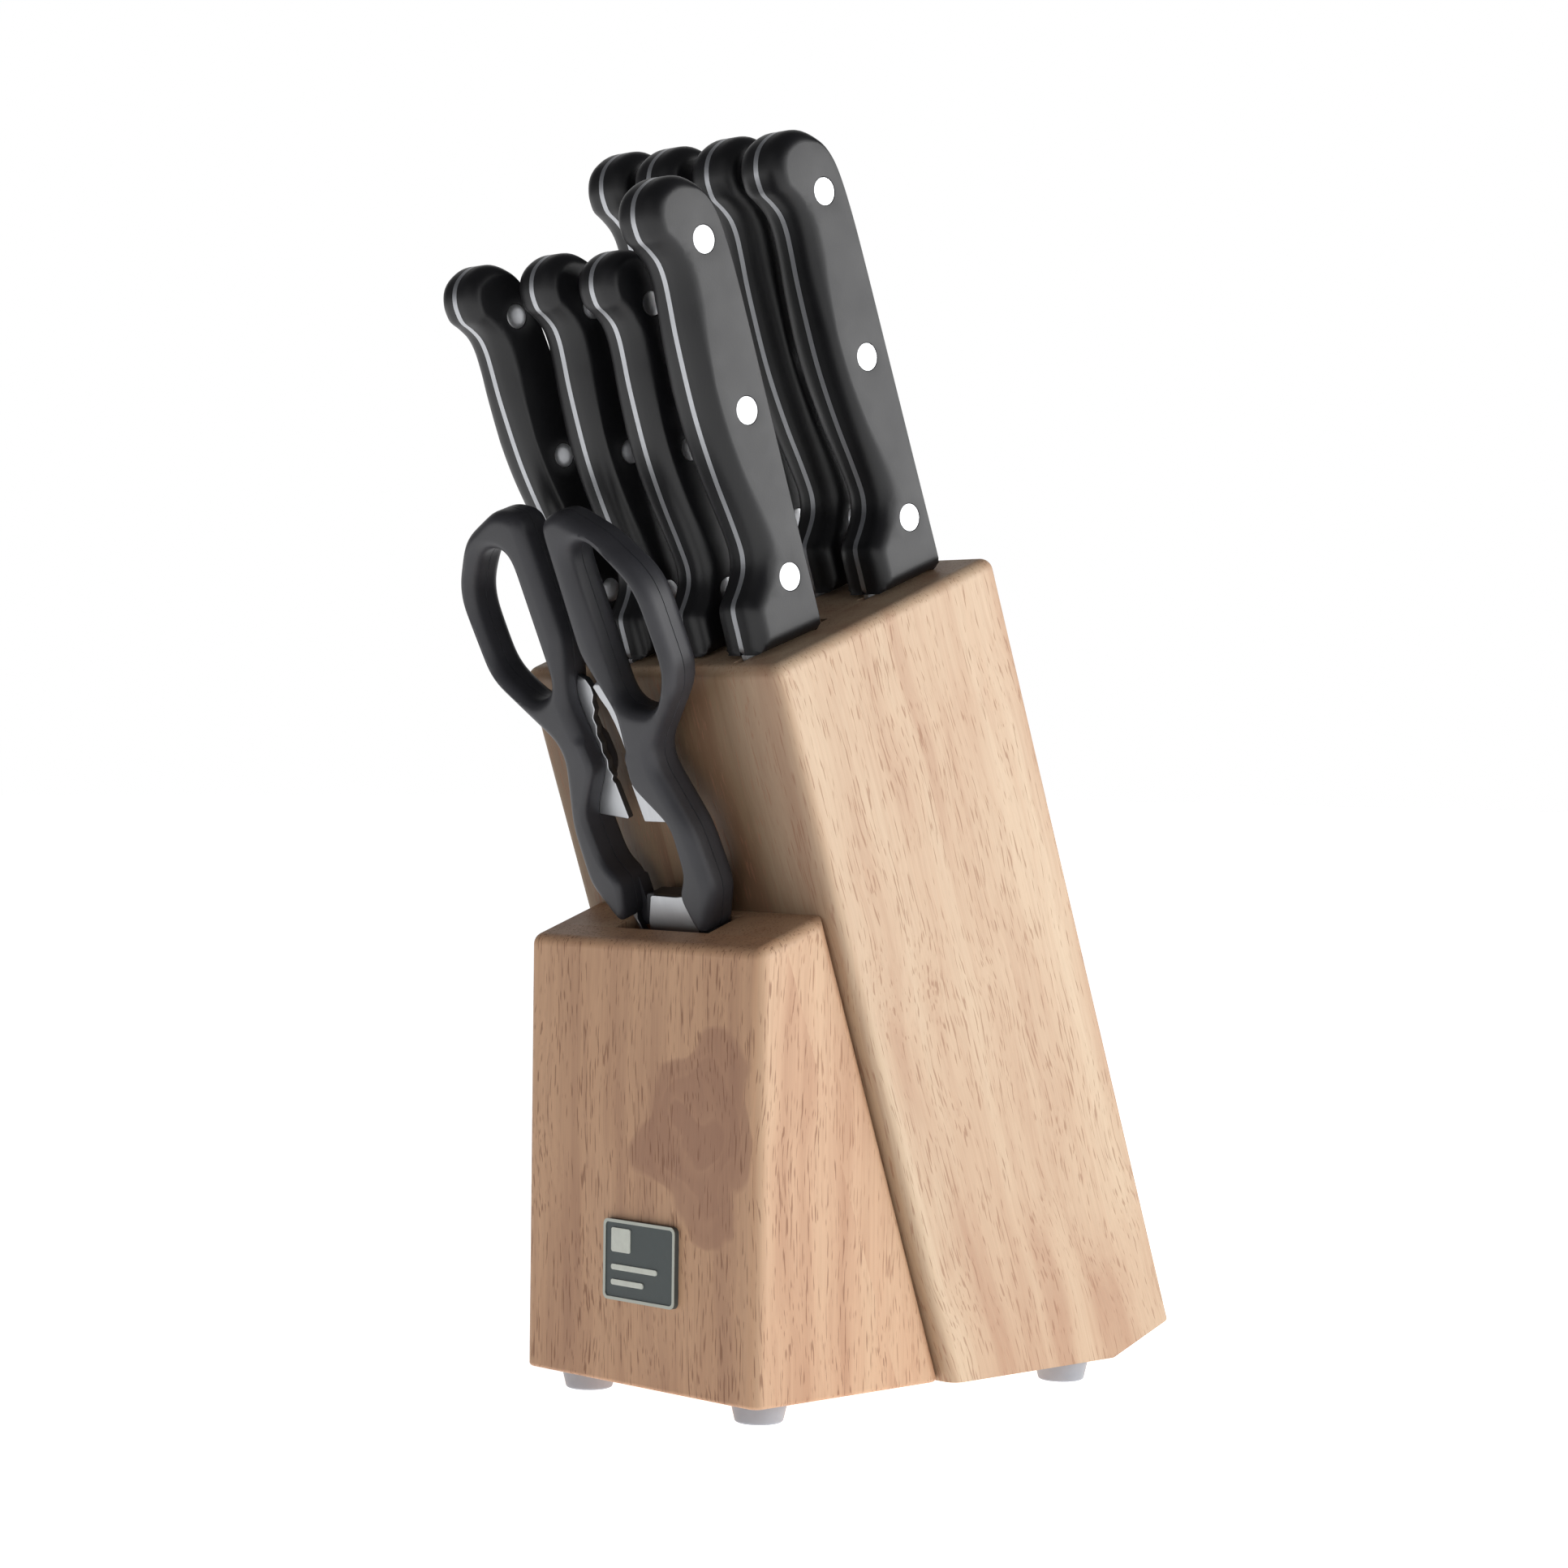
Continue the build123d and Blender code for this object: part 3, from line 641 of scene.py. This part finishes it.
def heart_figure(n, at, colour, dark):
    """A darker patch with wavy layered edges, as where a knot lies close below the face."""
    sway = n.noise(n.scaled(at, (34, 34, 30)), detail=2.5)
    push = n.math("MULTIPLY", n.math("SUBTRACT", sway, 0.5), 0.060)
    parts = n.tree.nodes.new("ShaderNodeSeparateXYZ")
    n.link(at, parts.inputs[0])
    dx = n.math("MULTIPLY", n.math("SUBTRACT", n.math("ADD", parts.outputs[0], push), 0.021), 1.15)
    dz = n.math("MULTIPLY", n.math("SUBTRACT", n.math("SUBTRACT", parts.outputs[2], push), 0.072), 1.15)
    away = n.math("SQRT", n.math("ADD", n.math("MULTIPLY", dx, dx), n.math("MULTIPLY", dz, dz)))
    patch = n.ramp(n.math("MULTIPLY", away, 18.0), (0.13, 1.00), (0.16, 0.74), (0.24, 0.90), (0.32, 0.90),
                   (0.35, 0.70), (0.42, 0.80), (0.50, 0.66), (0.54, 0.0))
    heart = tuple(c * k for c, k in zip(dark, (0.82, 0.76, 0.78))) + (1,)
    return n.mix(n.math("MULTIPLY", patch, 0.75), colour, heart)


def plastic(name, tone, rough):
    """Black moulded plastic: a satin face with a fine grain and faint rubbed patches."""
    n = Nodes(name)
    at = n.position()
    grain = n.noise(n.scaled(at, (2600, 2600, 2600)), detail=2)
    cloud = n.noise(n.scaled(at, (90, 90, 90)), detail=3)
    n.set(Base_Color=n.ramp(cloud, (0.3, tone), (0.7, toned(tone, 1.35))))
    n.set(Roughness=n.math("ADD", n.math("MULTIPLY", n.math("SUBTRACT", cloud, 0.5), 0.14), rough))
    n.set(Normal=n.bump(grain, 0.22, 0.00006))
    n.shader.inputs["Specular IOR Level"].default_value = 0.5
    return n.material


def steel(name, tone, rough, along):
    """Brushed steel: fine scratches along one axis of the piece."""
    n = Nodes(name)
    scratch = n.noise(n.position(along, turn=(-LEAN, 0, 0)), detail=3, rough=0.7)
    cloud = n.noise(n.position((60, 60, 60)), detail=2)
    n.set(Base_Color=n.mix(n.math("MULTIPLY", scratch, 0.35), tone, toned(tone, 0.72)))
    n.set(Roughness=n.math("ADD", n.math("MULTIPLY", cloud, 0.10),
                           n.math("ADD", n.math("MULTIPLY", scratch, 0.12), rough - 0.11)))
    n.shader.inputs["Metallic"].default_value = 1.0
    n.set(Normal=n.bump(scratch, 0.12, 0.00004))
    return n.material


def rubber(name, tone):
    """Soft translucent rubber with a dull moulded skin."""
    n = Nodes(name)
    cloud = n.noise(n.position((160, 160, 160)), detail=3)
    grain = n.noise(n.position((1500, 1500, 1500)), detail=2)
    n.set(Base_Color=n.ramp(cloud, (0.3, tone), (0.7, toned(tone, 0.9))))
    n.set(Roughness=n.math("ADD", n.math("MULTIPLY", cloud, 0.12), 0.42))
    n.shader.inputs["Subsurface Weight"].default_value = 0.35
    n.shader.inputs["Subsurface Radius"].default_value = (0.004, 0.004, 0.004)
    n.shader.inputs["Subsurface Scale"].default_value = 1.0
    n.set(Normal=n.bump(grain, 0.2, 0.0001))
    return n.material


def painted(name, tone, rough, rim=None):
    """Satin lacquer with a slight orange peel. rim is (y, colour), for what stands forward of y."""
    n = Nodes(name)
    cloud = n.noise(n.position((350, 350, 350)), detail=4, rough=0.6)
    colour = n.ramp(cloud, (0.3, tone), (0.7, toned(tone, 1.12)))
    if rim is not None:
        front_y, pale = rim
        parts = n.tree.nodes.new("ShaderNodeSeparateXYZ")
        n.link(n.position(), parts.inputs[0])
        colour = n.mix(n.math("LESS_THAN", parts.outputs[1], front_y), colour, pale)
    n.set(Base_Color=colour)
    n.set(Roughness=n.math("ADD", n.math("MULTIPLY", cloud, 0.12), rough))
    n.set(Normal=n.bump(cloud, 0.15, 0.0001))
    return n.material


# SIDE is the main block, FACE the front block's front, CHEEK its right side and inner boards, and the
# painted light on the front board's faces that look right.
SIDE = dict(
    light=srgb(211, 186, 157), mid=srgb(202, 172, 143),
    dark=srgb(184, 146, 118), pore=srgb(144, 101, 78),
)
FACE = dict(
    light=srgb(213, 171, 136), mid=srgb(202, 159, 125),
    dark=srgb(172, 130, 103), pore=srgb(125, 84, 62),
)
CHEEK = dict(
    light=srgb(212, 178, 145), mid=srgb(203, 164, 132),
    dark=srgb(184, 141, 110), pore=srgb(135, 90, 66),
)

MAIN_PAINTED_SHADE = 0.90       # strength of the painted shade on the main block's forward-facing wood
BOARD_WOOD = {
    "left_cheek_board": ("wood_left_cheek", SIDE, LEAN, (0.31, 0.11, 0.02)),
    "left_inner_board": ("wood_left_inner", SIDE, LEAN, (0.52, 0.07, 0.33)),
    "centre_board": ("wood_centre", SIDE, LEAN, (0.71, 0.23, 0.12)),
    "right_inner_board": ("wood_right_inner", SIDE, LEAN, (0.93, 0.05, 0.27)),
    "right_cheek_board": ("wood_right_cheek", SIDE, LEAN, (0.11, 0.017, 0.06)),
    "slot_strips_left_outer": ("wood_strip_a", SIDE, LEAN, (1.31, 0.21, 0.42)),
    "slot_strips_left_inner": ("wood_strip_b", SIDE, LEAN, (1.52, 0.27, 0.51)),
    "slot_strips_right_inner": ("wood_strip_c", SIDE, LEAN, (1.73, 0.31, 0.62)),
    "slot_strips_right_outer": ("wood_strip_d", SIDE, LEAN, (1.94, 0.37, 0.71)),
    "front_block_left_rail": ("wood_rail_left", CHEEK, 0.0, (0.41, 0.61, 0.2)),
    "front_block_right_rail": ("wood_rail_right", CHEEK, 0.0, (0.63, 0.52, 0.1)),
    "front_block_back_panel": ("wood_panel", CHEEK, 0.0, (0.87, 0.43, 0.3)),
}
plastic_black = plastic("handle_plastic", srgb(12, 12, 15), 0.42)
scissors_black = plastic("scissors_plastic", srgb(46, 46, 50), 0.46)
steel_cut = steel("scissors_steel_cut", srgb(112, 114, 117), 0.50, (700, 700, 700))
steel_blade = steel("blade_steel", srgb(196, 198, 202), 0.44, (900, 60, 900))
steel_plate = steel("scissors_steel", srgb(196, 198, 201), 0.40, (900, 900, 70))
rivet_metal = steel("rivet_metal", srgb(236, 237, 239), 0.34, (500, 500, 500))
screw_metal = steel("screw_metal", srgb(196, 198, 200), 0.30, (800, 800, 800))
foot_rubber = rubber("foot_rubber", srgb(158, 160, 166))
badge_rim_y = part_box("badge_plate")[0].y + 0.15 * MM
badge_rim = (badge_rim_y, srgb(190, 194, 184))
badge_dark = painted("badge_plate", srgb(70, 78, 78), 0.42, rim=badge_rim)
badge_light = painted("badge_bars", srgb(206, 210, 200), 0.38)


def dress(node, material):
    """Gives a carried-over CAD node its procedural material."""
    for s in nodes[node].material_slots:
        s.material = material


for node, (label, tones, lean, offset) in BOARD_WOOD.items():
    shade = MAIN_PAINTED_SHADE if tones is SIDE else 0.0
    dress(node, wood(label, lean=lean, offset=offset, shade=shade, **tones))
face_wood = wood("wood_front_face", lean=0.0, pores=0.62, figure=heart_figure, side=CHEEK, **FACE)
dress("front_block_face", face_wood)
for node in ("foot_front_left", "foot_front_right", "foot_back_left", "foot_back_right"):
    dress(node, foot_rubber)
dress("foot_screws", screw_metal)
dress("badge_bars", badge_light)
dress("badge_plate", badge_dark)
dress("scissors_pivot_screw", screw_metal)
dress("scissors_pivot_nut", screw_metal)


# ------------------------------------------------------------------ knives
SPINE_INSET = 0.6
SPINE_BLEND = 9.0       # how far from the spine the rounding has its full reach
ROUND_DROP = 5.2        # depth of the rounding, where it reaches in by FULL_INSET or more
FULL_INSET = 2.4
END_INSET = 3.8         # the rounding over the end that stands on the block
END_DROP = 3.6
END_STEPS = 7
HOLE_INSET = 0.12
RIVET_GAP = 0.05


def smooth(x):
    x = np.clip(x, 0, 1)
    return x * x * (3 - 2 * x)


def grip_outline(size):
    return turned(flowing(GRIP)) * size


def scale_mesh(name, size, side):
    """One handle scale, rounded over its end, front, butt and guard, nearly square along the spine."""
    outline = grip_outline(size)
    spine = outline[:, 0].max()
    heights, reaches = zip(*GRIP_INSETS)
    belly = np.interp(outline[:, 1] / size, heights, reaches)
    share = smooth((spine - outline[:, 0]) / (SPINE_BLEND * size))
    inset = (SPINE_INSET + (belly - SPINE_INSET) * share) * size
    inset[outline[:, 1] < 0.6 * size] = 0.4 * size
    loops, insets = [outline], [inset]
    for t, h in RIVET_PLACES:
        hole = turned(circle((t * size, h * size), (RIVET_R + RIVET_GAP) * size), False)
        loops.append(hole)
        insets.append(np.full(len(hole), HOLE_INSET))
    along = np.arange(2.0, 22.0, 1.1)
    levels = [END_INSET * (1 - cos(k / END_STEPS * pi / 2)) for k in range(2, END_STEPS + 1)]
    rows = np.concatenate([np.stack([along, np.full(len(along), h)], 1) for h in levels]) * size
    rows = rows[nearest(rows, loops, insets)[0] > 0.35]

    def upper(p):
        top = quarter_round(p, loops, insets, SCALE_THICKNESS * size, ROUND_DROP * size,
                            FULL_INSET * size)
        end = size * (SCALE_THICKNESS - END_DROP * rounding(p[:, 1] / (END_INSET * size)))
        return np.minimum(top, end)

    extra = np.concatenate([pillow_points(loops, insets, 3.6), rows])
    return slab(name, loops, extra, upper, lambda p: np.zeros(len(p)),
                lambda v: (side * (BLADE_HALF + v[2]), v[0], v[1]), plain_back=True)


def bezier(a, b, c, n):
    k = np.linspace(0, 1, n)[:, None]
    return (1 - k) ** 2 * np.array(a) + 2 * k * (1 - k) * np.array(b) + k ** 2 * np.array(c)


def line_distance(points, line):
    """Distance of each point to an open line."""
    p, q = line[:-1], line[1:]
    d = q - p
    w = points[:, None, :] - p[None]
    k = np.clip((w * d).sum(2) / np.maximum((d * d).sum(1), 1e-12), 0, 1)
    return np.linalg.norm(w - k[..., None] * d, axis=2).min(1)


def scalloped(line, pitch, depth):
    """A serrated edge: shallow round bites along the line, fading towards both ends."""
    run = np.concatenate([[0], np.cumsum(np.linalg.norm(np.diff(line, axis=0), axis=1))])
    s = np.linspace(0, run[-1], int(run[-1] / 0.7))
    x, y = np.interp(s, run, line[:, 0]), np.interp(s, run, line[:, 1])
    fade = np.clip((run[-1] - s) / 22.0, 0, 1) * np.clip((s - 6.0) / 6.0, 0, 1)
    return np.stack([x + depth * np.abs(np.sin(pi * s / pitch)) * fade, y], 1)


def blade_mesh(name, length, heel, size, style):
    """Tang and blade in one: full thickness in the handle, ground thin towards the edge below it."""
    spine_t = SPINE * size
    straight, pull = EDGE_CURVES[style]
    edge_t = spine_t - heel
    tip = (spine_t - heel * 0.12, -length)
    belly = bezier((edge_t, -length * straight), (edge_t, -length * pull), tip, 40)
    back = bezier(tip, (spine_t, -length * 0.97), (spine_t, -length * 0.88), 14)
    straight_part = np.linspace((edge_t, -4.0), belly[0], max(2, int(length * straight / 2.5)))
    cutting = np.concatenate([straight_part[:-1], belly])
    if style == "round":
        cutting = scalloped(cutting, 4.4, 0.75)
    grip = grip_outline(size)
    grip = np.roll(grip, -int(grip[:, 1].argmin()), axis=0)
    grip = grip[grip[:, 1] > 0.4 * size]
    if grip[0][0] < grip[-1][0]:
        grip = grip[::-1]
    corners = [np.array([[edge_t, 0.0]]), cutting, back[1:], np.array([[spine_t, 0.0], [21.8 * size, 0.0]]),
               grip, np.array([[1.5 * size, 0.0]])]
    outline = turned(divided(np.concatenate(corners), 3.0))

    def half(p):
        gap = line_distance(p, cutting)
        ground = 0.24 + (BLADE_HALF - 0.24) * np.clip((gap - 0.9) / (heel * 0.5), 0, 1)
        w = np.where(gap < 0.9, 0.03 + 0.21 * gap / 0.9, ground)
        full = smooth((p[:, 1] + 7.0) / 6.0)
        return w + (BLADE_HALF - w) * full

    rows = []
    for away in (0.45, 0.9, 1.7, 3.2, 5.0, 7.5, heel * 0.5 + 0.9, heel * 0.5 + 1.6):
        t = np.gradient(cutting, axis=0)
        t /= np.linalg.norm(t, axis=1, keepdims=True)
        moved = cutting + np.stack([-t[:, 1], t[:, 0]], 1) * away
        rows.append(moved[line_distance(moved, cutting) > away * 0.97])
    margin = np.full(len(outline), 0.3)
    rows = np.concatenate([*rows, filling([outline], [margin], 5.0)])
    rows = rows[inside(rows, [outline])]
    rows = rows[nearest(rows, [outline], [margin])[0] > 0.25]
    return slab(name, [outline], rows, half, lambda p: -half(p), lambda v: (v[2], v[0], v[1]))


def rivet_mesh(name, size):
    """Three pins through the handle, each with a slightly crowned and chamfered head at both ends."""
    reach = BLADE_HALF + SCALE_THICKNESS * size
    r = RIVET_R * size
    half = [(0, reach), (r * 0.5, reach - 0.01), (r - 0.25, reach - 0.04), (r - 0.06, reach - 0.1),
            (r, reach - 0.25)]
    pins = []
    for t, h in RIVET_PLACES:
        pin = lathe(name, half + [(rr, -z) for rr, z in reversed(half)], 40)
        place = Matrix.Translation(Vector((0, t * size, h * size)) * MM)
        pin.transform(place @ Matrix.Rotation(pi / 2, 4, "Y"))
        pins.append(pin)
    return joined(name, *pins)


meshes = {}
for knife, (column, t0, h0, tilt, length, heel, size, style) in KNIVES.items():
    matrix = (
        main_frame
        @ Matrix.Translation(Vector((COLUMNS[column], t0, h0)) * MM)
        @ Matrix.Rotation(radians(tilt), 4, "X")
    )
    if size not in meshes:
        label = f"{round(size * 1000)}"
        meshes[size] = (scale_mesh(f"left_scale_{label}", size, -1),
                        scale_mesh(f"right_scale_{label}", size, 1),
                        rivet_mesh(f"rivets_{label}", size))
    left, right, pins = meshes[size]
    for hand, mesh in (("left", left), ("right", right)):
        piece(f"{knife}_{hand}_grip", mesh, matrix, knife, plastic_black, "handle_plastic",
              f"{knife}_{hand}_scale")
    piece(f"{knife}_pins", pins, matrix, knife, rivet_metal, "rivet_metal", f"{knife}_rivets")
    blade = blade_mesh(f"{knife}_steel", length, heel, size, style)
    piece(f"{knife}_steel", blade, matrix, knife, steel_blade, "blade_steel", f"{knife}_blade")


# ------------------------------------------------------------------ scissors
GRIP_ROUND = 3.3
INNER_ROUND = 1.7       # rounding of the shank's inner side, which is nearly square
GRIP_HALF = 5.5
WEB_ROUND = 0.8
SEAM_DEPTH = 0.3
SEAM_HALF = 0.12
PLATE_EDGE = 0.3        # the plates' edges are eased over this width
PLATE_DROP = 0.2


def web_mesh(side, sign):
    """The plastic behind the plates, from its start to the handle's front or back face."""
    start, corners = WEBS[side]
    loops = [turned(filleted(corners, 1.0))]
    rim = [np.full(len(loops[0]), WEB_ROUND)]
    depth = GRIP_HALF - start

    def upper(p):
        return quarter_round(p, loops, rim, depth, WEB_ROUND, WEB_ROUND)

    return slab("web", loops, pillow_points(loops, rim, 2.5), upper, lambda p: np.zeros(len(p)),
                lambda v: (sign * v[0], v[2] + start, v[1]))


def scissors_grip(name, side):
    """A moulded handle with its finger loop: round section, and a parting line at mid thickness."""
    sign = 1 if side == "right" else -1
    raised = HALF_RAISE[side]
    outer = relaxed(filleted(HANDLE_FOOT + LOOPS[side] + HANDLE_INNER, 0.5), 1.6)
    hole = relaxed(filleted(HOLES[side], 0.5), 2.2)
    loops = [turned(outer), turned(hole, False)]
    middle = np.interp(loops[0][:, 1], (-6, 0, 20, 44, 52), (13.0, 17.0, 18.5, 11.5, -9.0))
    edge = INNER_ROUND + (GRIP_ROUND - INNER_ROUND) * smooth((loops[0][:, 0] - middle) / 4.0 + 0.5)
    insets = [edge, np.full(len(hole), GRIP_ROUND)]

    def upper(p):
        return quarter_round(p, loops, insets, GRIP_HALF, GRIP_ROUND, GRIP_ROUND)

    shell = slab(name, loops, pillow_points(loops, insets, 2.5), upper, lambda p: -upper(p),
                 lambda v: (sign * v[0], -v[2], v[1] + raised),
                 wall=((SEAM_HALF, 0.0), (0.0, SEAM_DEPTH), (-SEAM_HALF, 0.0)))
    return joined(name, shell, web_mesh(side, sign))


def plate_mesh(name, side):
    """The steel of one half, with eased edges; its side walls take the second material slot."""
    sign = 1 if side == "right" else -1
    loops = [turned(filleted(PLATES[side], 2.0))]
    insets = [np.full(len(loops[0]), PLATE_EDGE)]
    half = PLATE / 2
    centre = -PLATE_GAP / 2 - half if side == "right" else PLATE_GAP / 2 + half

    def upper(p):
        return quarter_round(p, loops, insets, half, PLATE_DROP, PLATE_EDGE)

    mesh = slab(name, loops, pillow_points(loops, insets, 4.0), upper, lambda p: -upper(p),
                lambda v: (sign * v[0], centre - v[2], v[1]))
    for face in mesh.polygons:
        if abs(face.normal.y) < 0.6:
            face.material_index = 1
    return mesh


for side, body, blade_node in (("right", "scissors_front_half", "scissors_front_blade"),
                               ("left", "scissors_back_half", "scissors_back_blade")):
    piece(f"scissors_{side}_grip", scissors_grip(f"scissors_{side}_grip", side), scissors_frame, body,
          scissors_black, "handle_plastic", f"scissors_{side}_handle")
    plate = piece(f"scissors_{side}_steel", plate_mesh(f"scissors_{side}_steel", side), scissors_frame, body,
                  steel_plate, "blade_steel", blade_node)
    plate.data.materials.append(steel_cut)


# ------------------------------------------------------------------ camera, floor and light
ROOM = 0.1              # brightness of the room in front of the object, against 1 for the backdrop
CAMERA_YAW, CAMERA_PITCH, CAMERA_ROLL = radians(46.209), radians(0.512), radians(0.649)
CAMERA_X, CAMERA_Y, CAMERA_Z = 673.75, -597.17, 163.8       # y from the front block's face
SENSOR_WIDTH = 36.0
LENS = 83.1596


def make_camera():
    """The photograph's viewpoint: from the front right, level with the middle of the handles."""
    yaw, pitch, roll = CAMERA_YAW, CAMERA_PITCH, CAMERA_ROLL
    back = Vector((sin(yaw) * cos(pitch), -cos(yaw) * cos(pitch), sin(pitch)))
    right = Vector((cos(yaw), sin(yaw), 0))
    top = back.cross(right)
    cam = bpy.data.cameras.new("camera")
    cam.sensor_width = SENSOR_WIDTH
    cam.lens = LENS
    ob = bpy.data.objects.new("camera", cam)
    scene.collection.objects.link(ob)
    rolled_right = right * cos(roll) + top * sin(roll)
    rolled_top = top * cos(roll) - right * sin(roll)
    m = Matrix((rolled_right, rolled_top, back)).transposed().to_4x4()
    m.translation = Vector((CAMERA_X, face_y + CAMERA_Y, CAMERA_Z)) * MM
    ob.matrix_world = m
    scene.camera = ob


def area_light(name, where, aim, size, power):
    data = bpy.data.lights.new(name, "AREA")
    data.shape = "RECTANGLE"
    data.size, data.size_y = size
    data.energy = power
    ob = bpy.data.objects.new(name, data)
    scene.collection.objects.link(ob)
    ob.location = where
    ob.rotation_euler = (Vector(aim) - Vector(where)).to_track_quat("-Z", "Y").to_euler()


def make_floor():
    """A large sheet of white paper, which glows enough to print white."""
    bm = bmesh.new()
    corners = [bm.verts.new(Vector((x, y, 0))) for x, y in ((-9, -9), (9, -9), (9, 9), (-9, 9))]
    bm.faces.new(corners)
    mesh = bpy.data.meshes.new("floor")
    bm.to_mesh(mesh)
    bm.free()
    n = Nodes("floor_paper")
    mottle = n.noise(n.position((3, 3, 3)), detail=2)
    n.set(Base_Color=n.ramp(mottle, (0.3, 0.86), (0.7, 0.88)), Roughness=0.9)
    n.shader.inputs["Specular IOR Level"].default_value = 0.1
    n.shader.inputs["Emission Color"].default_value = (1, 1, 1, 1)
    n.shader.inputs["Emission Strength"].default_value = 0.92
    mesh.materials.append(n.material)
    ob = bpy.data.objects.new("floor", mesh)
    scene.collection.objects.link(ob)


def make_world():
    """A white backdrop behind the object, and a dimmer room everywhere else."""
    world = bpy.data.worlds.new("studio")
    world.use_nodes = True
    tree = world.node_tree
    away = tree.nodes.new("ShaderNodeVectorMath")
    away.operation = "DOT_PRODUCT"
    tree.links.new(tree.nodes.new("ShaderNodeTexCoord").outputs["Generated"], away.inputs[0])
    away.inputs[1].default_value = (-0.72, 0.69, 0.0)
    fade = tree.nodes.new("ShaderNodeValToRGB")
    tree.links.new(away.outputs["Value"], fade.inputs[0])
    dim, lit = fade.color_ramp.elements
    dim.position, dim.color = 0.66, (ROOM, ROOM, ROOM * 1.04, 1)
    lit.position, lit.color = 0.88, (1, 1, 1, 1)
    tree.links.new(fade.outputs[0], tree.nodes["Background"].inputs[0])
    scene.world = world


make_camera()
make_floor()
make_world()
area_light("key_softbox", (1.05, 0.95, 0.35), (0, 0, 0.16), (1.4, 1.1), 19)
area_light("side_softbox", (1.5, -0.10, 0.45), (0, 0, 0.16), (0.7, 1.0), 3)
area_light("front_fill", (-0.2, -1.6, 0.7), (0, 0, 0.15), (1.2, 1.2), 0.8)
scene.view_settings.view_transform = "Standard"
